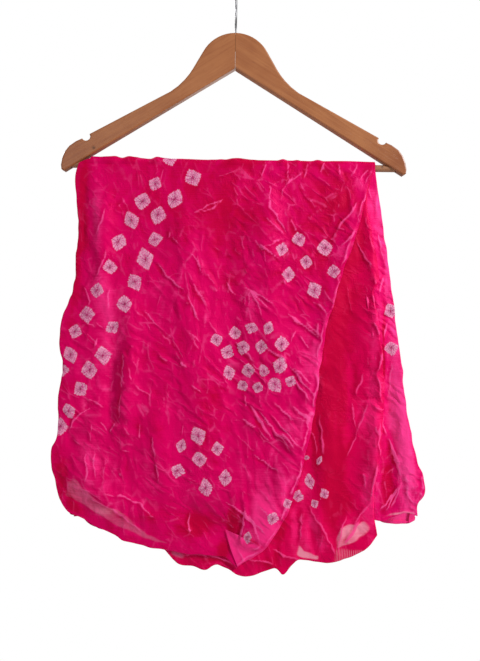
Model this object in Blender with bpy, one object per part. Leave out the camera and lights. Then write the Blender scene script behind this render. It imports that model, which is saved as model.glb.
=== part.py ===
"""A silk dupatta folded over the trouser bar of a wooden clothes hanger.

Run it in Blender 4.5, with blender --background --python part.py or from the text editor.
The part is in metres with +Z up. Its origin is the inside top of the hook, where a rail holds it.
X runs along the hanger and the front of the cloth faces -Y. The hanger is two arms glued at the
middle, a round bar and a wire hook. The cloth is three stretches of one folded length, each of them
a sheet that hangs down the front, goes over the bar and hangs down the back.
"""

import math
from typing import NamedTuple

import bmesh
import bpy

MM = 0.001

# The hanger, in millimetres from the top of its head, which is this far under the rail.
HEAD_UNDER_RAIL = 52.0
ARM_THICKNESS = 13.0
ARM_ROUNDING = 1.8
HALF_SEAM = 0.15
HEAD_RADIUS = 47.0
UNDERSIDE_APEX = 45.8
NOTCH_CENTRE = (190.3, 135.6)
NOTCH_RADIUS = 5.5

# The bar, its sockets in the arms and how far it is under the head's top.
BAR_RADIUS = 4.4
BAR_UNDER_HEAD = 170.7
BAR_HALF_LENGTH = 208.0
SOCKET_HALF_LENGTH = 209.5
SOCKET_RADIUS = 4.75
BAR_Z = -(HEAD_UNDER_RAIL + BAR_UNDER_HEAD)

# The hook is one wire, turned edge-on, with its mouth towards the front.
WIRE_RADIUS = 1.5
HOOK_INSIDE_RADIUS = 18.0
HOOK_START_DEGREES = -50.0
HOOK_TIP_DEGREES = 205.0
NECK_RADIUS = 8.0
STEM_IN_HEAD = 22.0
WIRE_HOLE_RADIUS = 1.8

# The cloth. A layer's pitch at the bar is its wall and a gap, and it opens out further down.
WALL = 1.1
LAYER_PITCH_AT_BAR = 1.45
LAYER_PITCH_LOW = 4.0
INNER_LAYER_RADIUS = 5.3
OPENING_OUT_DROP = 80.0
BELLY_AT_HEM = 10.0
HEM_DROP = 520.0
BAR_STEPS = 8
# The bar meets the arms where the outer stretch ends, so its arch is shorter than its falls.
ARM_RELIEF = 15.0
RIPPLE_HEIGHT = 0.4
RIPPLE_LENGTHS = (113.0, 71.0)


class Edge(NamedTuple):
    """One row of an edge's table: how far under the bar, and how far across from the middle."""

    drop: float
    across: float


class Fold(NamedTuple):
    """One row of a table of folds: a ridge, or a furrow where its height is below zero."""

    top_across: float
    top_drop: float
    foot_across: float
    foot_drop: float
    width: float
    height: float


class Fall(NamedTuple):
    """One hanging panel: its left and right edges from the bar down, and its hem left to right."""

    left: tuple
    right: tuple
    hem: tuple
    rows: int


class Stretch(NamedTuple):
    """One stretch of the cloth: its layer, counted out from the bar, and its two falls."""

    name: str
    layer: int
    columns: int
    arm_relief: float
    front: Fall
    back: Fall
    colour: tuple


FRONT_FOLDS = (
    # Down the left side.
    Fold(-182, 20, -178, 160, 9, -3.0),
    Fold(-162, 15, -164, 175, 12, 4.0),
    Fold(-146, 215, -152, 335, 11, -4.0),
    Fold(-128, 190, -134, 350, 13, 4.5),
    Fold(-172, 308, -206, 348, 10, -4.0),
    Fold(-196, 385, -150, 430, 20, 5.0),
    # Down the middle of the outer stretch.
    Fold(-92, 315, -82, 420, 13, 3.5),
    Fold(-66, 40, -44, 300, 20, 4.0),
    Fold(-12, 90, 12, 330, 18, -3.5),
    Fold(40, 60, 62, 300, 17, 4.0),
    Fold(-60, 442, 2, 468, 18, -5.0),
    Fold(-165, 425, -92, 452, 13, 3.0),
    # Along its slanting right edge.
    Fold(160, 40, 112, 240, 14, 4.0),
    Fold(100, 290, 48, 470, 17, 6.0),
    # The middle stretch and the strip beyond it.
    Fold(172, 50, 188, 230, 9, 4.0),
    Fold(190, 240, 182, 425, 10, 5.5),
    Fold(150, 170, 158, 430, 15, -3.5),
    Fold(124, 300, 116, 470, 12, 4.0),
    Fold(198, 240, 206, 430, 10, -3.0),
    Fold(208, 230, 234, 420, 13, 4.5),
)

BACK_FOLDS = (
    Fold(-176, 20, -188, 260, 13, 4.0),
    Fold(-140, 60, -150, 420, 16, -4.5),
    Fold(-104, 20, -96, 460, 17, 5.0),
    Fold(-52, 80, -34, 300, 16, -3.5),
    Fold(-20, 240, 8, 480, 19, 5.0),
    Fold(44, 30, 40, 260, 15, 4.5),
    Fold(84, 150, 92, 470, 18, -5.0),
    Fold(132, 20, 146, 440, 16, 5.5),
    Fold(176, 120, 186, 430, 13, -4.0),
    Fold(206, 200, 232, 430, 14, 4.5),
)

OUTER_FRONT = Fall(
    left=(
        Edge(0, -198), Edge(22, -202), Edge(69, -196), Edge(118, -197), Edge(159, -200),
        Edge(196, -213), Edge(230, -218), Edge(263, -212), Edge(297, -217), Edge(346, -217),
        Edge(370, -225), Edge(397, -222), Edge(432, -209), Edge(441, -185),
    ),
    right=(
        Edge(0, 181), Edge(26, 171), Edge(78, 158), Edge(132, 141), Edge(196, 122),
        Edge(257, 112), Edge(312, 105), Edge(368, 94), Edge(421, 80), Edge(452, 66),
        Edge(486, 44), Edge(510, 11),
    ),
    hem=(
        Edge(441, -185), Edge(461, -161), Edge(479, -120), Edge(488, -81), Edge(495, -30),
        Edge(496, -6), Edge(510, 11),
    ),
    rows=24,
)
OUTER_BACK = Fall(
    left=(
        Edge(0, -198), Edge(64, -200), Edge(174, -208), Edge(240, -219), Edge(359, -222),
        Edge(413, -216),
    ),
    right=(
        Edge(0, 181), Edge(169, 184), Edge(327, 179), Edge(430, 160), Edge(462, 148),
        Edge(497, 132),
    ),
    hem=(
        Edge(413, -216), Edge(430, -204), Edge(439, -169), Edge(462, -128), Edge(487, -109),
        Edge(492, -93), Edge(494, -38), Edge(484, 30), Edge(500, 90), Edge(500, 122),
        Edge(497, 132),
    ),
    rows=16,
)
MIDDLE_FRONT = Fall(
    left=(Edge(0, -171), Edge(175, -136), Edge(364, -101), Edge(489, -82)),
    right=(
        Edge(0, 181), Edge(29, 172), Edge(57, 170), Edge(96, 178), Edge(143, 186),
        Edge(160, 178), Edge(198, 185), Edge(251, 191), Edge(311, 193), Edge(364, 189),
        Edge(421, 181), Edge(450, 185), Edge(469, 188),
    ),
    hem=(
        Edge(489, -82), Edge(506, -62), Edge(508, -44), Edge(514, -28), Edge(508, -14),
        Edge(521, 20), Edge(511, 57), Edge(519, 70), Edge(500, 88), Edge(502, 112),
        Edge(502, 136), Edge(487, 170), Edge(469, 188),
    ),
    rows=22,
)
MIDDLE_BACK = Fall(
    left=(Edge(0, -171), Edge(239, -159), Edge(443, -144)),
    right=(Edge(0, 181), Edge(169, 191), Edge(326, 204), Edge(438, 188)),
    hem=(
        Edge(443, -144), Edge(470, -60), Edge(480, 28), Edge(462, 110), Edge(445, 160),
        Edge(438, 188),
    ),
    rows=14,
)
INNER_FRONT = Fall(
    left=(Edge(0, 85), Edge(440, 154)),
    right=(
        Edge(0, 181), Edge(29, 185), Edge(83, 193), Edge(142, 201), Edge(214, 211),
        Edge(299, 222), Edge(361, 234), Edge(408, 248), Edge(431, 239), Edge(444, 239),
    ),
    hem=(Edge(440, 154), Edge(451, 193), Edge(446, 207), Edge(440, 222), Edge(444, 239)),
    rows=20,
)
INNER_BACK = Fall(
    left=(Edge(0, 86), Edge(451, 145)),
    right=(
        Edge(0, 181), Edge(26, 185), Edge(81, 193), Edge(214, 212), Edge(335, 230),
        Edge(408, 248), Edge(432, 245), Edge(456, 242),
    ),
    hem=(Edge(451, 145), Edge(454, 190), Edge(459, 205), Edge(461, 232), Edge(456, 242)),
    rows=14,
)

STRETCHES = (
    Stretch("dupatta_inner_stretch", 0, 10, 0.0, INNER_FRONT, INNER_BACK, (0.78, 0.02, 0.22)),
    Stretch("dupatta_middle_stretch", 1, 22, 0.0, MIDDLE_FRONT, MIDDLE_BACK, (0.62, 0.0, 0.08)),
    Stretch("dupatta_outer_stretch", 2, 26, ARM_RELIEF, OUTER_FRONT, OUTER_BACK, (0.8, 0.01, 0.2)),
)


def clear_scene():
    """Remove whatever the scene holds."""
    for old in list(bpy.data.objects):
        bpy.data.objects.remove(old, do_unlink=True)


def material(name, colour, roughness, metallic=0.0):
    """Return a Principled material of this colour."""
    made = bpy.data.materials.new(name)
    made.use_nodes = True
    shader = made.node_tree.nodes["Principled BSDF"]
    shader.inputs["Base Color"].default_value = (*colour, 1.0)
    shader.inputs["Roughness"].default_value = roughness
    shader.inputs["Metallic"].default_value = metallic
    return made


def link(name, mesh, finish):
    """Return a new object of this mesh and material, in the scene."""
    made = bpy.data.objects.new(name, mesh)
    made.data.materials.append(finish)
    bpy.context.scene.collection.objects.link(made)
    return made


def arc(centre, radius, start_degrees, end_degrees, steps):
    """Return points on an arc, both ends included."""
    points = []
    for step in range(steps + 1):
        angle = math.radians(start_degrees + (end_degrees - start_degrees) * step / steps)
        points.append((centre[0] + radius * math.cos(angle), centre[1] + radius * math.sin(angle)))
    return points


def arm_outline():
    """Return the right arm's outline, as (across, under the head's top) in millimetres."""
    head = arc((0.0, HEAD_RADIUS), HEAD_RADIUS, -89.8, -28.5, 9)
    swept_neck = [(54.0, 46.5), (58.6, 53.6), (64.6, 61.0), (72.6, 69.0), (82.4, 76.4), (95.6, 83.5)]
    notch = arc(NOTCH_CENTRE, NOTCH_RADIUS, 214.0, 29.0, 7)
    round_tip = [
        (203.0, 141.9), (211.7, 148.1), (216.8, 154.9), (220.3, 163.6), (221.8, 172.1),
        (221.2, 177.8), (217.5, 180.0),
    ]
    apex = [(HALF_SEAM, UNDERSIDE_APEX)]
    return [(max(x, HALF_SEAM), drop) for x, drop in head + swept_neck + notch + round_tip + apex]


def cutter(name, radius, depth, location, rotation):
    """Return a hidden round cutter."""
    bpy.ops.mesh.primitive_cylinder_add(
        vertices=20, radius=radius * MM, depth=depth * MM, location=location, rotation=rotation
    )
    made = bpy.context.object
    made.name = name
    made.hide_render = True
    made.display_type = "WIRE"
    return made


def build_arm(name, side, cutters, finish):
    """Build one half of the hanger: side is 1 for the right arm and -1 for the left one."""
    mesh = bpy.data.meshes.new(name)
    shape = bmesh.new()
    half = ARM_THICKNESS / 2 * MM
    outline = [
        shape.verts.new((side * x * MM, -half, -(HEAD_UNDER_RAIL + drop) * MM))
        for x, drop in arm_outline()
    ]
    face = shape.faces.new(outline)
    grown = bmesh.ops.extrude_face_region(shape, geom=[face])
    moved = [item for item in grown["geom"] if isinstance(item, bmesh.types.BMVert)]
    bmesh.ops.translate(shape, verts=moved, vec=(0, 2 * half, 0))
    bmesh.ops.recalc_face_normals(shape, faces=shape.faces)
    long_edges = [edge for edge in shape.edges if is_rounded(edge)]
    bmesh.ops.bevel(
        shape, geom=long_edges, offset=ARM_ROUNDING * MM, segments=2, profile=0.5, affect="EDGES"
    )
    shape.to_mesh(mesh)
    shape.free()
    arm = link(name, mesh, finish)
    for tool in cutters:
        cut = arm.modifiers.new(tool.name, "BOOLEAN")
        cut.operation = "DIFFERENCE"
        cut.object = tool
    mesh.shade_smooth()
    mesh.set_sharp_from_angle(angle=math.radians(35))


def is_rounded(edge):
    """Say whether this edge lies on the front or the back face and away from the middle seam."""
    first, second = edge.verts
    on_a_face = abs(first.co.y - second.co.y) < 1e-6
    at_seam = max(abs(first.co.x), abs(second.co.x)) < 2 * HALF_SEAM * MM
    return on_a_face and not at_seam


def build_bar(finish):
    """Build the round bar between the arms."""
    bpy.ops.mesh.primitive_cylinder_add(
        vertices=24,
        radius=BAR_RADIUS * MM,
        depth=2 * BAR_HALF_LENGTH * MM,
        location=(0, 0, BAR_Z * MM),
        rotation=(0, math.radians(90), 0),
    )
    bar = bpy.context.object
    bar.name = "trouser_bar"
    bar.data.materials.append(finish)
    bar.data.shade_smooth()
    bar.data.set_sharp_from_angle(angle=math.radians(40))


def hook_route():
    """Return the hook wire's centreline, as (y, z) in millimetres, from its foot to its tip."""
    turn = math.radians(-HOOK_START_DEGREES)
    big = HOOK_INSIDE_RADIUS + WIRE_RADIUS
    centre = (0.0, -HOOK_INSIDE_RADIUS)
    start = (big * math.cos(turn), centre[1] - big * math.sin(turn))
    neck_y = NECK_RADIUS * (1 - math.cos(turn))
    rise = (start[0] - neck_y) / math.tan(turn)
    neck_z = start[1] - rise - NECK_RADIUS * math.sin(turn)
    foot = -(HEAD_UNDER_RAIL + STEM_IN_HEAD)
    neck = arc((NECK_RADIUS, neck_z), NECK_RADIUS, 180.0, 180.0 - math.degrees(turn), 4)
    bend = arc(centre, big, HOOK_START_DEGREES, HOOK_TIP_DEGREES, 22)
    return [(0.0, foot), (0.0, -HEAD_UNDER_RAIL)] + neck + bend


def build_hook(finish):
    """Build the wire hook as a curve with a round section."""
    curve = bpy.data.curves.new("hanger_hook", "CURVE")
    curve.dimensions = "3D"
    curve.bevel_depth = WIRE_RADIUS * MM
    curve.bevel_resolution = 2
    curve.use_fill_caps = True
    route = hook_route()
    line = curve.splines.new("POLY")
    line.points.add(len(route) - 1)
    for point, (y, z) in zip(line.points, route):
        point.co = (0.0, y * MM, z * MM, 1.0)
    line.use_smooth = True
    link("hanger_hook", curve, finish)


def ease(value):
    """Return a smooth step from 0 to 1."""
    value = min(1.0, max(0.0, value))
    return value * value * (3 - 2 * value)


def along(points, share):
    """Return the point this share of the way along a smooth curve through the points."""
    spans = [math.dist(a, b) for a, b in zip(points, points[1:])]
    left = share * sum(spans)
    index = 0
    while index < len(spans) - 1 and left > spans[index]:
        left -= spans[index]
        index += 1
    t = min(1.0, left / spans[index])
    p1 = points[index]
    p2 = points[index + 1]
    p0 = points[max(index - 1, 0)]
    p3 = points[min(index + 2, len(points) - 1)]
    return tuple(
        0.5 * (2 * b + (c - a) * t + (2 * a - 5 * b + 4 * c - d) * t**2 + (3 * b - a - 3 * c + d) * t**3)
        for a, b, c, d in zip(p0, p1, p2, p3)
    )


def folds_at(across, drop, folds):
    """Return how far the folds push the cloth outwards at this place."""
    pushed = 0.0
    for fold in folds:
        run_x = fold.foot_across - fold.top_across
        run_z = fold.foot_drop - fold.top_drop
        length = math.hypot(run_x, run_z)
        share = ((across - fold.top_across) * run_x + (drop - fold.top_drop) * run_z) / length**2
        aside = ((across - fold.top_across) * run_z - (drop - fold.top_drop) * run_x) / length
        fade = ease((share + 0.25) / 0.45) * ease((1.25 - share) / 0.45)
        pushed += fold.height * fade * math.exp(-((aside / fold.width) ** 2))
    return pushed


def ripple(across):
    """Return the small rise and fall of the cloth along the bar, never below zero."""
    long_wave, short_wave = RIPPLE_LENGTHS
    rise = math.sin(across * math.tau / long_wave) + math.sin(across * math.tau / short_wave + 1.3)
    return RIPPLE_HEIGHT * (2 + rise) / 2


def depth_at(layer, across, drop, folds):
    """Return how far the middle of a layer's wall is from the bar's middle plane."""
    opened = ease(drop / OPENING_OUT_DROP)
    at_bar = INNER_LAYER_RADIUS + layer * LAYER_PITCH_AT_BAR
    low = INNER_LAYER_RADIUS + layer * LAYER_PITCH_LOW + BELLY_AT_HEM * max(drop, 0.0) / HEM_DROP
    held = (at_bar + ripple(across)) * (1 - opened)
    return held + (low + folds_at(across, drop, folds)) * opened


def fall_point(fall, across_share, drop_share):
    """Return (across, drop) in a panel, blended from its four edges."""
    bar_left = fall.left[0]
    bar_right = fall.right[0]
    top = (0.0, bar_left.across + (bar_right.across - bar_left.across) * across_share)
    left = along(fall.left, drop_share)
    right = along(fall.right, drop_share)
    foot = along(fall.hem, across_share)
    u, v = across_share, drop_share
    blend = []
    for axis in range(2):
        sides = left[axis] * (1 - u) + right[axis] * u
        ends = top[axis] * (1 - v) + foot[axis] * v
        corners = (bar_left[axis] * (1 - u) + bar_right[axis] * u) * (1 - v)
        corners += (fall.left[-1][axis] * (1 - u) + fall.right[-1][axis] * u) * v
        blend.append(sides + ends - corners)
    return blend[1], blend[0]


def stretch_rows(stretch):
    """Return the rows of points of a stretch, from its front hem over the bar to its back hem."""
    rows = []
    for row in range(stretch.front.rows, -1, -1):
        line = [fall_point(stretch.front, u / stretch.columns, row / stretch.front.rows)
                for u in range(stretch.columns + 1)]
        rows.append([(x, -depth_at(stretch.layer, x, d, FRONT_FOLDS), BAR_Z - d) for x, d in line])
    radius = INNER_LAYER_RADIUS + stretch.layer * LAYER_PITCH_AT_BAR
    left = stretch.front.left[0].across
    right = stretch.front.right[0].across
    for step in range(1, BAR_STEPS):
        angle = math.pi * step / BAR_STEPS
        start = left + stretch.arm_relief * ease(2 - abs(4 * step / BAR_STEPS - 2))
        line = [start + (right - start) * u / stretch.columns for u in range(stretch.columns + 1)]
        rows.append([
            (x, -(radius + ripple(x)) * math.cos(angle), BAR_Z + (radius + ripple(x)) * math.sin(angle))
            for x in line
        ])
    for row in range(stretch.back.rows + 1):
        line = [fall_point(stretch.back, u / stretch.columns, row / stretch.back.rows)
                for u in range(stretch.columns + 1)]
        rows.append([(x, depth_at(stretch.layer, x, d, BACK_FOLDS), BAR_Z - d) for x, d in line])
    return rows


def build_stretch(stretch):
    """Build one stretch of cloth as a sheet through its rows, thickened to a wall."""
    rows = stretch_rows(stretch)
    wide = stretch.columns + 1
    points = [(x * MM, y * MM, z * MM) for row in rows for x, y, z in row]
    faces = []
    for row in range(len(rows) - 1):
        for column in range(stretch.columns):
            corner = row * wide + column
            faces.append((corner, corner + 1, corner + wide + 1, corner + wide))
    mesh = bpy.data.meshes.new(stretch.name)
    mesh.from_pydata(points, [], faces)
    mesh.shade_smooth()
    cloth = link(stretch.name, mesh, material(stretch.name, stretch.colour, 0.45))
    wall = cloth.modifiers.new("wall", "SOLIDIFY")
    wall.thickness = WALL * MM
    wall.offset = 0.0
    wall.use_even_offset = False


def main():
    """Build the hanger, then the cloth over its bar."""
    clear_scene()
    wood = material("beech", (0.42, 0.2, 0.09), 0.42)
    pale_wood = material("bar_wood", (0.5, 0.27, 0.14), 0.5)
    steel = material("hook_steel", (0.62, 0.62, 0.62), 0.25, 1.0)
    sockets = cutter(
        "sockets_cutter", SOCKET_RADIUS, 2 * SOCKET_HALF_LENGTH, (0, 0, BAR_Z * MM), (0, math.radians(90), 0)
    )
    stem_hole = cutter(
        "stem_hole_cutter", WIRE_HOLE_RADIUS, 2 * STEM_IN_HEAD + 1.0, (0, 0, -HEAD_UNDER_RAIL * MM), (0, 0, 0)
    )
    build_arm("hanger_arm_right", 1, (sockets, stem_hole), wood)
    build_arm("hanger_arm_left", -1, (sockets, stem_hole), wood)
    build_bar(pale_wood)
    build_hook(steel)
    for stretch in STRETCHES:
        build_stretch(stretch)


main()
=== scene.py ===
"""A tie-dyed silk dupatta, folded over the trouser bar of a wooden hanger.

The cloth is three stretches of one folded length. Each is a thin sheet that comes up the front,
goes over the bar and hangs down the back, and carries the creases, the rolled hems and the dyed
dots. The hanger's arms, bar and hook keep their solid shapes and get wood and steel finishes.

Cloth is laid out in millimetres: across is +X from the hanger's middle, drop is how far under the
bar a place hangs, and depth is how far it stands from the bar's middle plane.
"""

import logging
import math
from collections.abc import Callable
from dataclasses import dataclass
from enum import Enum
from typing import Any, NamedTuple

import bpy
import numpy as np
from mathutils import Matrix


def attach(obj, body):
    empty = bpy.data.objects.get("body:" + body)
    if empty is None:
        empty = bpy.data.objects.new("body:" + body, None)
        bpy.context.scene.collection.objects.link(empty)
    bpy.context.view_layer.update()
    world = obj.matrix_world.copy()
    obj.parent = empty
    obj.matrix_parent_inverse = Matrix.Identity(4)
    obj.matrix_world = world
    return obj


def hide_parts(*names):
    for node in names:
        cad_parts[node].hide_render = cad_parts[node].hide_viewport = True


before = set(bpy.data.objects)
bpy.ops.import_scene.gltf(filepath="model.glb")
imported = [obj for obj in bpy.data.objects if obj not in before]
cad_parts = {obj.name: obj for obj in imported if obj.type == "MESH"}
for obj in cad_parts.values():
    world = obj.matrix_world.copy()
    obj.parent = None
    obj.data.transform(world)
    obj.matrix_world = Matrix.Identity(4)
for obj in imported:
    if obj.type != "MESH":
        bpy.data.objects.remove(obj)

LOG = logging.getLogger("dupatta")
MM = 0.001
BODY = "root"

BAR_Z = -222.7
ARM_SLOPE = 31.7

# How the layers lie over the bar, open out under it and end.
LAYER_PITCH_AT_BAR = 1.45
LAYER_PITCH_LOW = 4.0
INNER_LAYER_RADIUS = 5.3
OPENING_OUT_DROP = 80.0
BELLY_AT_HEM = 10.0
HEM_DROP = 520.0
RIPPLE_HEIGHT = 0.4
RIPPLE_LENGTHS = (113.0, 71.0)
SUNK_AT_BAR = 0.2
BAR_BUMP_HEIGHT = 2.8
COVER_FREES = 2.2
HEM_ROLL = 0.9
SIDE_TURN = 8.0
BACK_HEM_TURN = 3.0
PLACE_WANDER = 1.3
# How the creases and the crumpled ground stand.
CREASE_WANDER = ((8.0, 1.5), (3.0, 0.5))
CREASE_AT_EDGE = -2.6
TURNED_ABOUT = -34.0
PATCH_FADE = 30.0
CRUMPLE_TURNS = (-0.3, 0.35, -0.1)
CRUMPLE_SHRINKS = 0.56
CRUMPLE_WEAKENS = 0.66
CRUMPLE_SHARPNESS = 2.6
FULL_CREASE = 1.3
PLACED_SHARE = 1.15
STREWN_SHARE = 0.9
# The small creases' share of their crest marks and painted hollow shade, and how wide a crest mark is: a
# worn crease with painted highlight.
STREWN_CREST_AND_SHADE = 0.6
CREST_MARK_WIDTH = 1.3
STEP_RISE = 3.0
# How much painted shade each kind of crease lays in its hollow.
TROUGH_SHADE = 0.7
RIDGE_SHADE = 0.45
STEP_SHADE = 0.8
# The dots, the striped hem and the knots in the wood.
DOT_REACH = 1.35
DOT_APART = 0.78
STRIPE_TURNS = 2900.0
KNOT_SHADE = 0.25

Grid = np.ndarray


class Side(Enum):
    """Which way a fall faces: the value is the sign of its Y."""

    FRONT = -1
    BACK = 1


class CreaseKind(Enum):
    """How a crease stands: a crest with two slopes, or a cliff that runs off to its right."""

    RIDGE = "ridge"
    STEP = "step"


RIDGE = CreaseKind.RIDGE
STEP = CreaseKind.STEP


class Edge(NamedTuple):
    """One stop on an edge: how far under the bar, and how far across."""

    drop: float
    across: float


class Fold(NamedTuple):
    """A large fold that every layer shares: a ridge, or a furrow where its height is below zero."""

    top_across: float
    top_drop: float
    foot_across: float
    foot_drop: float
    width: float
    height: float


class Crease(NamedTuple):
    """One crease, from its start to its end, bowed to its right by so much at the middle."""

    from_across: float
    from_drop: float
    to_across: float
    to_drop: float
    bow: float
    width: float
    height: float
    kind: CreaseKind = RIDGE


class Crinkles(NamedTuple):
    """A patch of small creases that lean one way: degrees are turned down from +across."""

    across: tuple[float, float]
    drop: tuple[float, float]
    lean: float
    spread: float
    count: int
    length: tuple[float, float]
    width: tuple[float, float]
    height: tuple[float, float]
    seed: int


class PaintedLight(NamedTuple):
    """A soft patch of painted light (above zero) or painted shade (below zero)."""

    across: float
    drop: float
    wide: float
    tall: float
    amount: float


class Band(NamedTuple):
    """A band between two lines, where the cloth is sheer, or is painted lighter or darker."""

    upper: tuple[tuple[float, float], ...]
    lower: tuple[tuple[float, float], ...]
    sheer: float
    painted_light: float


class Fall(NamedTuple):
    """One hanging panel: its left and right edges from the bar down, and its hem left to right."""

    left: tuple[Edge, ...]
    right: tuple[Edge, ...]
    hem: tuple[Edge, ...]


class Dot(NamedTuple):
    """One tied-off dot: its place, its half width to a corner, its turn, its stretch and a seed."""

    across: float
    drop: float
    half: float
    turn: float
    stretch: float
    seed: float


def rows_of(kind: type[tuple], *rows: tuple) -> tuple:
    """Return a table's rows with their columns named."""
    return tuple(kind(*row) for row in rows)


def outline(left: tuple, right: tuple, hem: tuple) -> Fall:
    """Return a panel from the (drop, across) stops of its edges."""
    return Fall(*(rows_of(Edge, *stops) for stops in (left, right, hem)))


FRONT_FOLDS = rows_of(
    Fold,
    (-182, 20, -178, 160, 9, -3.0), (-162, 15, -164, 175, 12, 4.0), (-146, 215, -152, 335, 11, -4.0),
    (-128, 190, -134, 350, 13, 4.5), (-172, 308, -206, 348, 10, -4.0), (-196, 385, -150, 430, 20, 5.0),
    (-92, 315, -82, 420, 13, 3.5), (-66, 40, -44, 300, 20, 4.0), (-12, 90, 12, 330, 18, -3.5),
    (40, 60, 62, 300, 17, 4.0), (-60, 442, 2, 468, 18, -5.0), (-165, 425, -92, 452, 13, 3.0),
    (160, 40, 112, 240, 14, 4.0), (100, 290, 48, 470, 17, 6.0), (172, 50, 188, 230, 9, 4.0),
    (190, 240, 182, 425, 10, 5.5), (150, 170, 158, 430, 15, -3.5), (124, 300, 116, 470, 12, 4.0),
    (198, 240, 206, 430, 10, -3.0), (208, 230, 234, 420, 13, 4.5),
)
BACK_FOLDS = rows_of(
    Fold,
    (-176, 20, -188, 260, 13, 4.0), (-140, 60, -150, 420, 16, -4.5), (-104, 20, -96, 460, 17, 5.0),
    (-52, 80, -34, 300, 16, -3.5), (-20, 240, 8, 480, 19, 5.0), (44, 30, 40, 260, 15, 4.5),
    (84, 150, 92, 470, 18, -5.0), (132, 20, 146, 440, 16, 5.5), (176, 120, 186, 430, 13, -4.0),
    (206, 200, 232, 430, 14, 4.5),
)

OUTER_SOFT_FOLDS = rows_of(
    Fold,
    (-203, 15, -204, 205, 13, -3.4), (-224, 215, -232, 400, 14, -3.0), (-179, 18, -176, 168, 9, 3.6),
    (46, 24, 48, 62, 9, 2.0), (44, 428, 40, 480, 15, 3.4), (2, 430, -40, 462, 13, -2.0),
    (-156, 235, -152, 320, 9, -1.4), (-124, 235, -128, 330, 9, 1.6),
)

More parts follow.
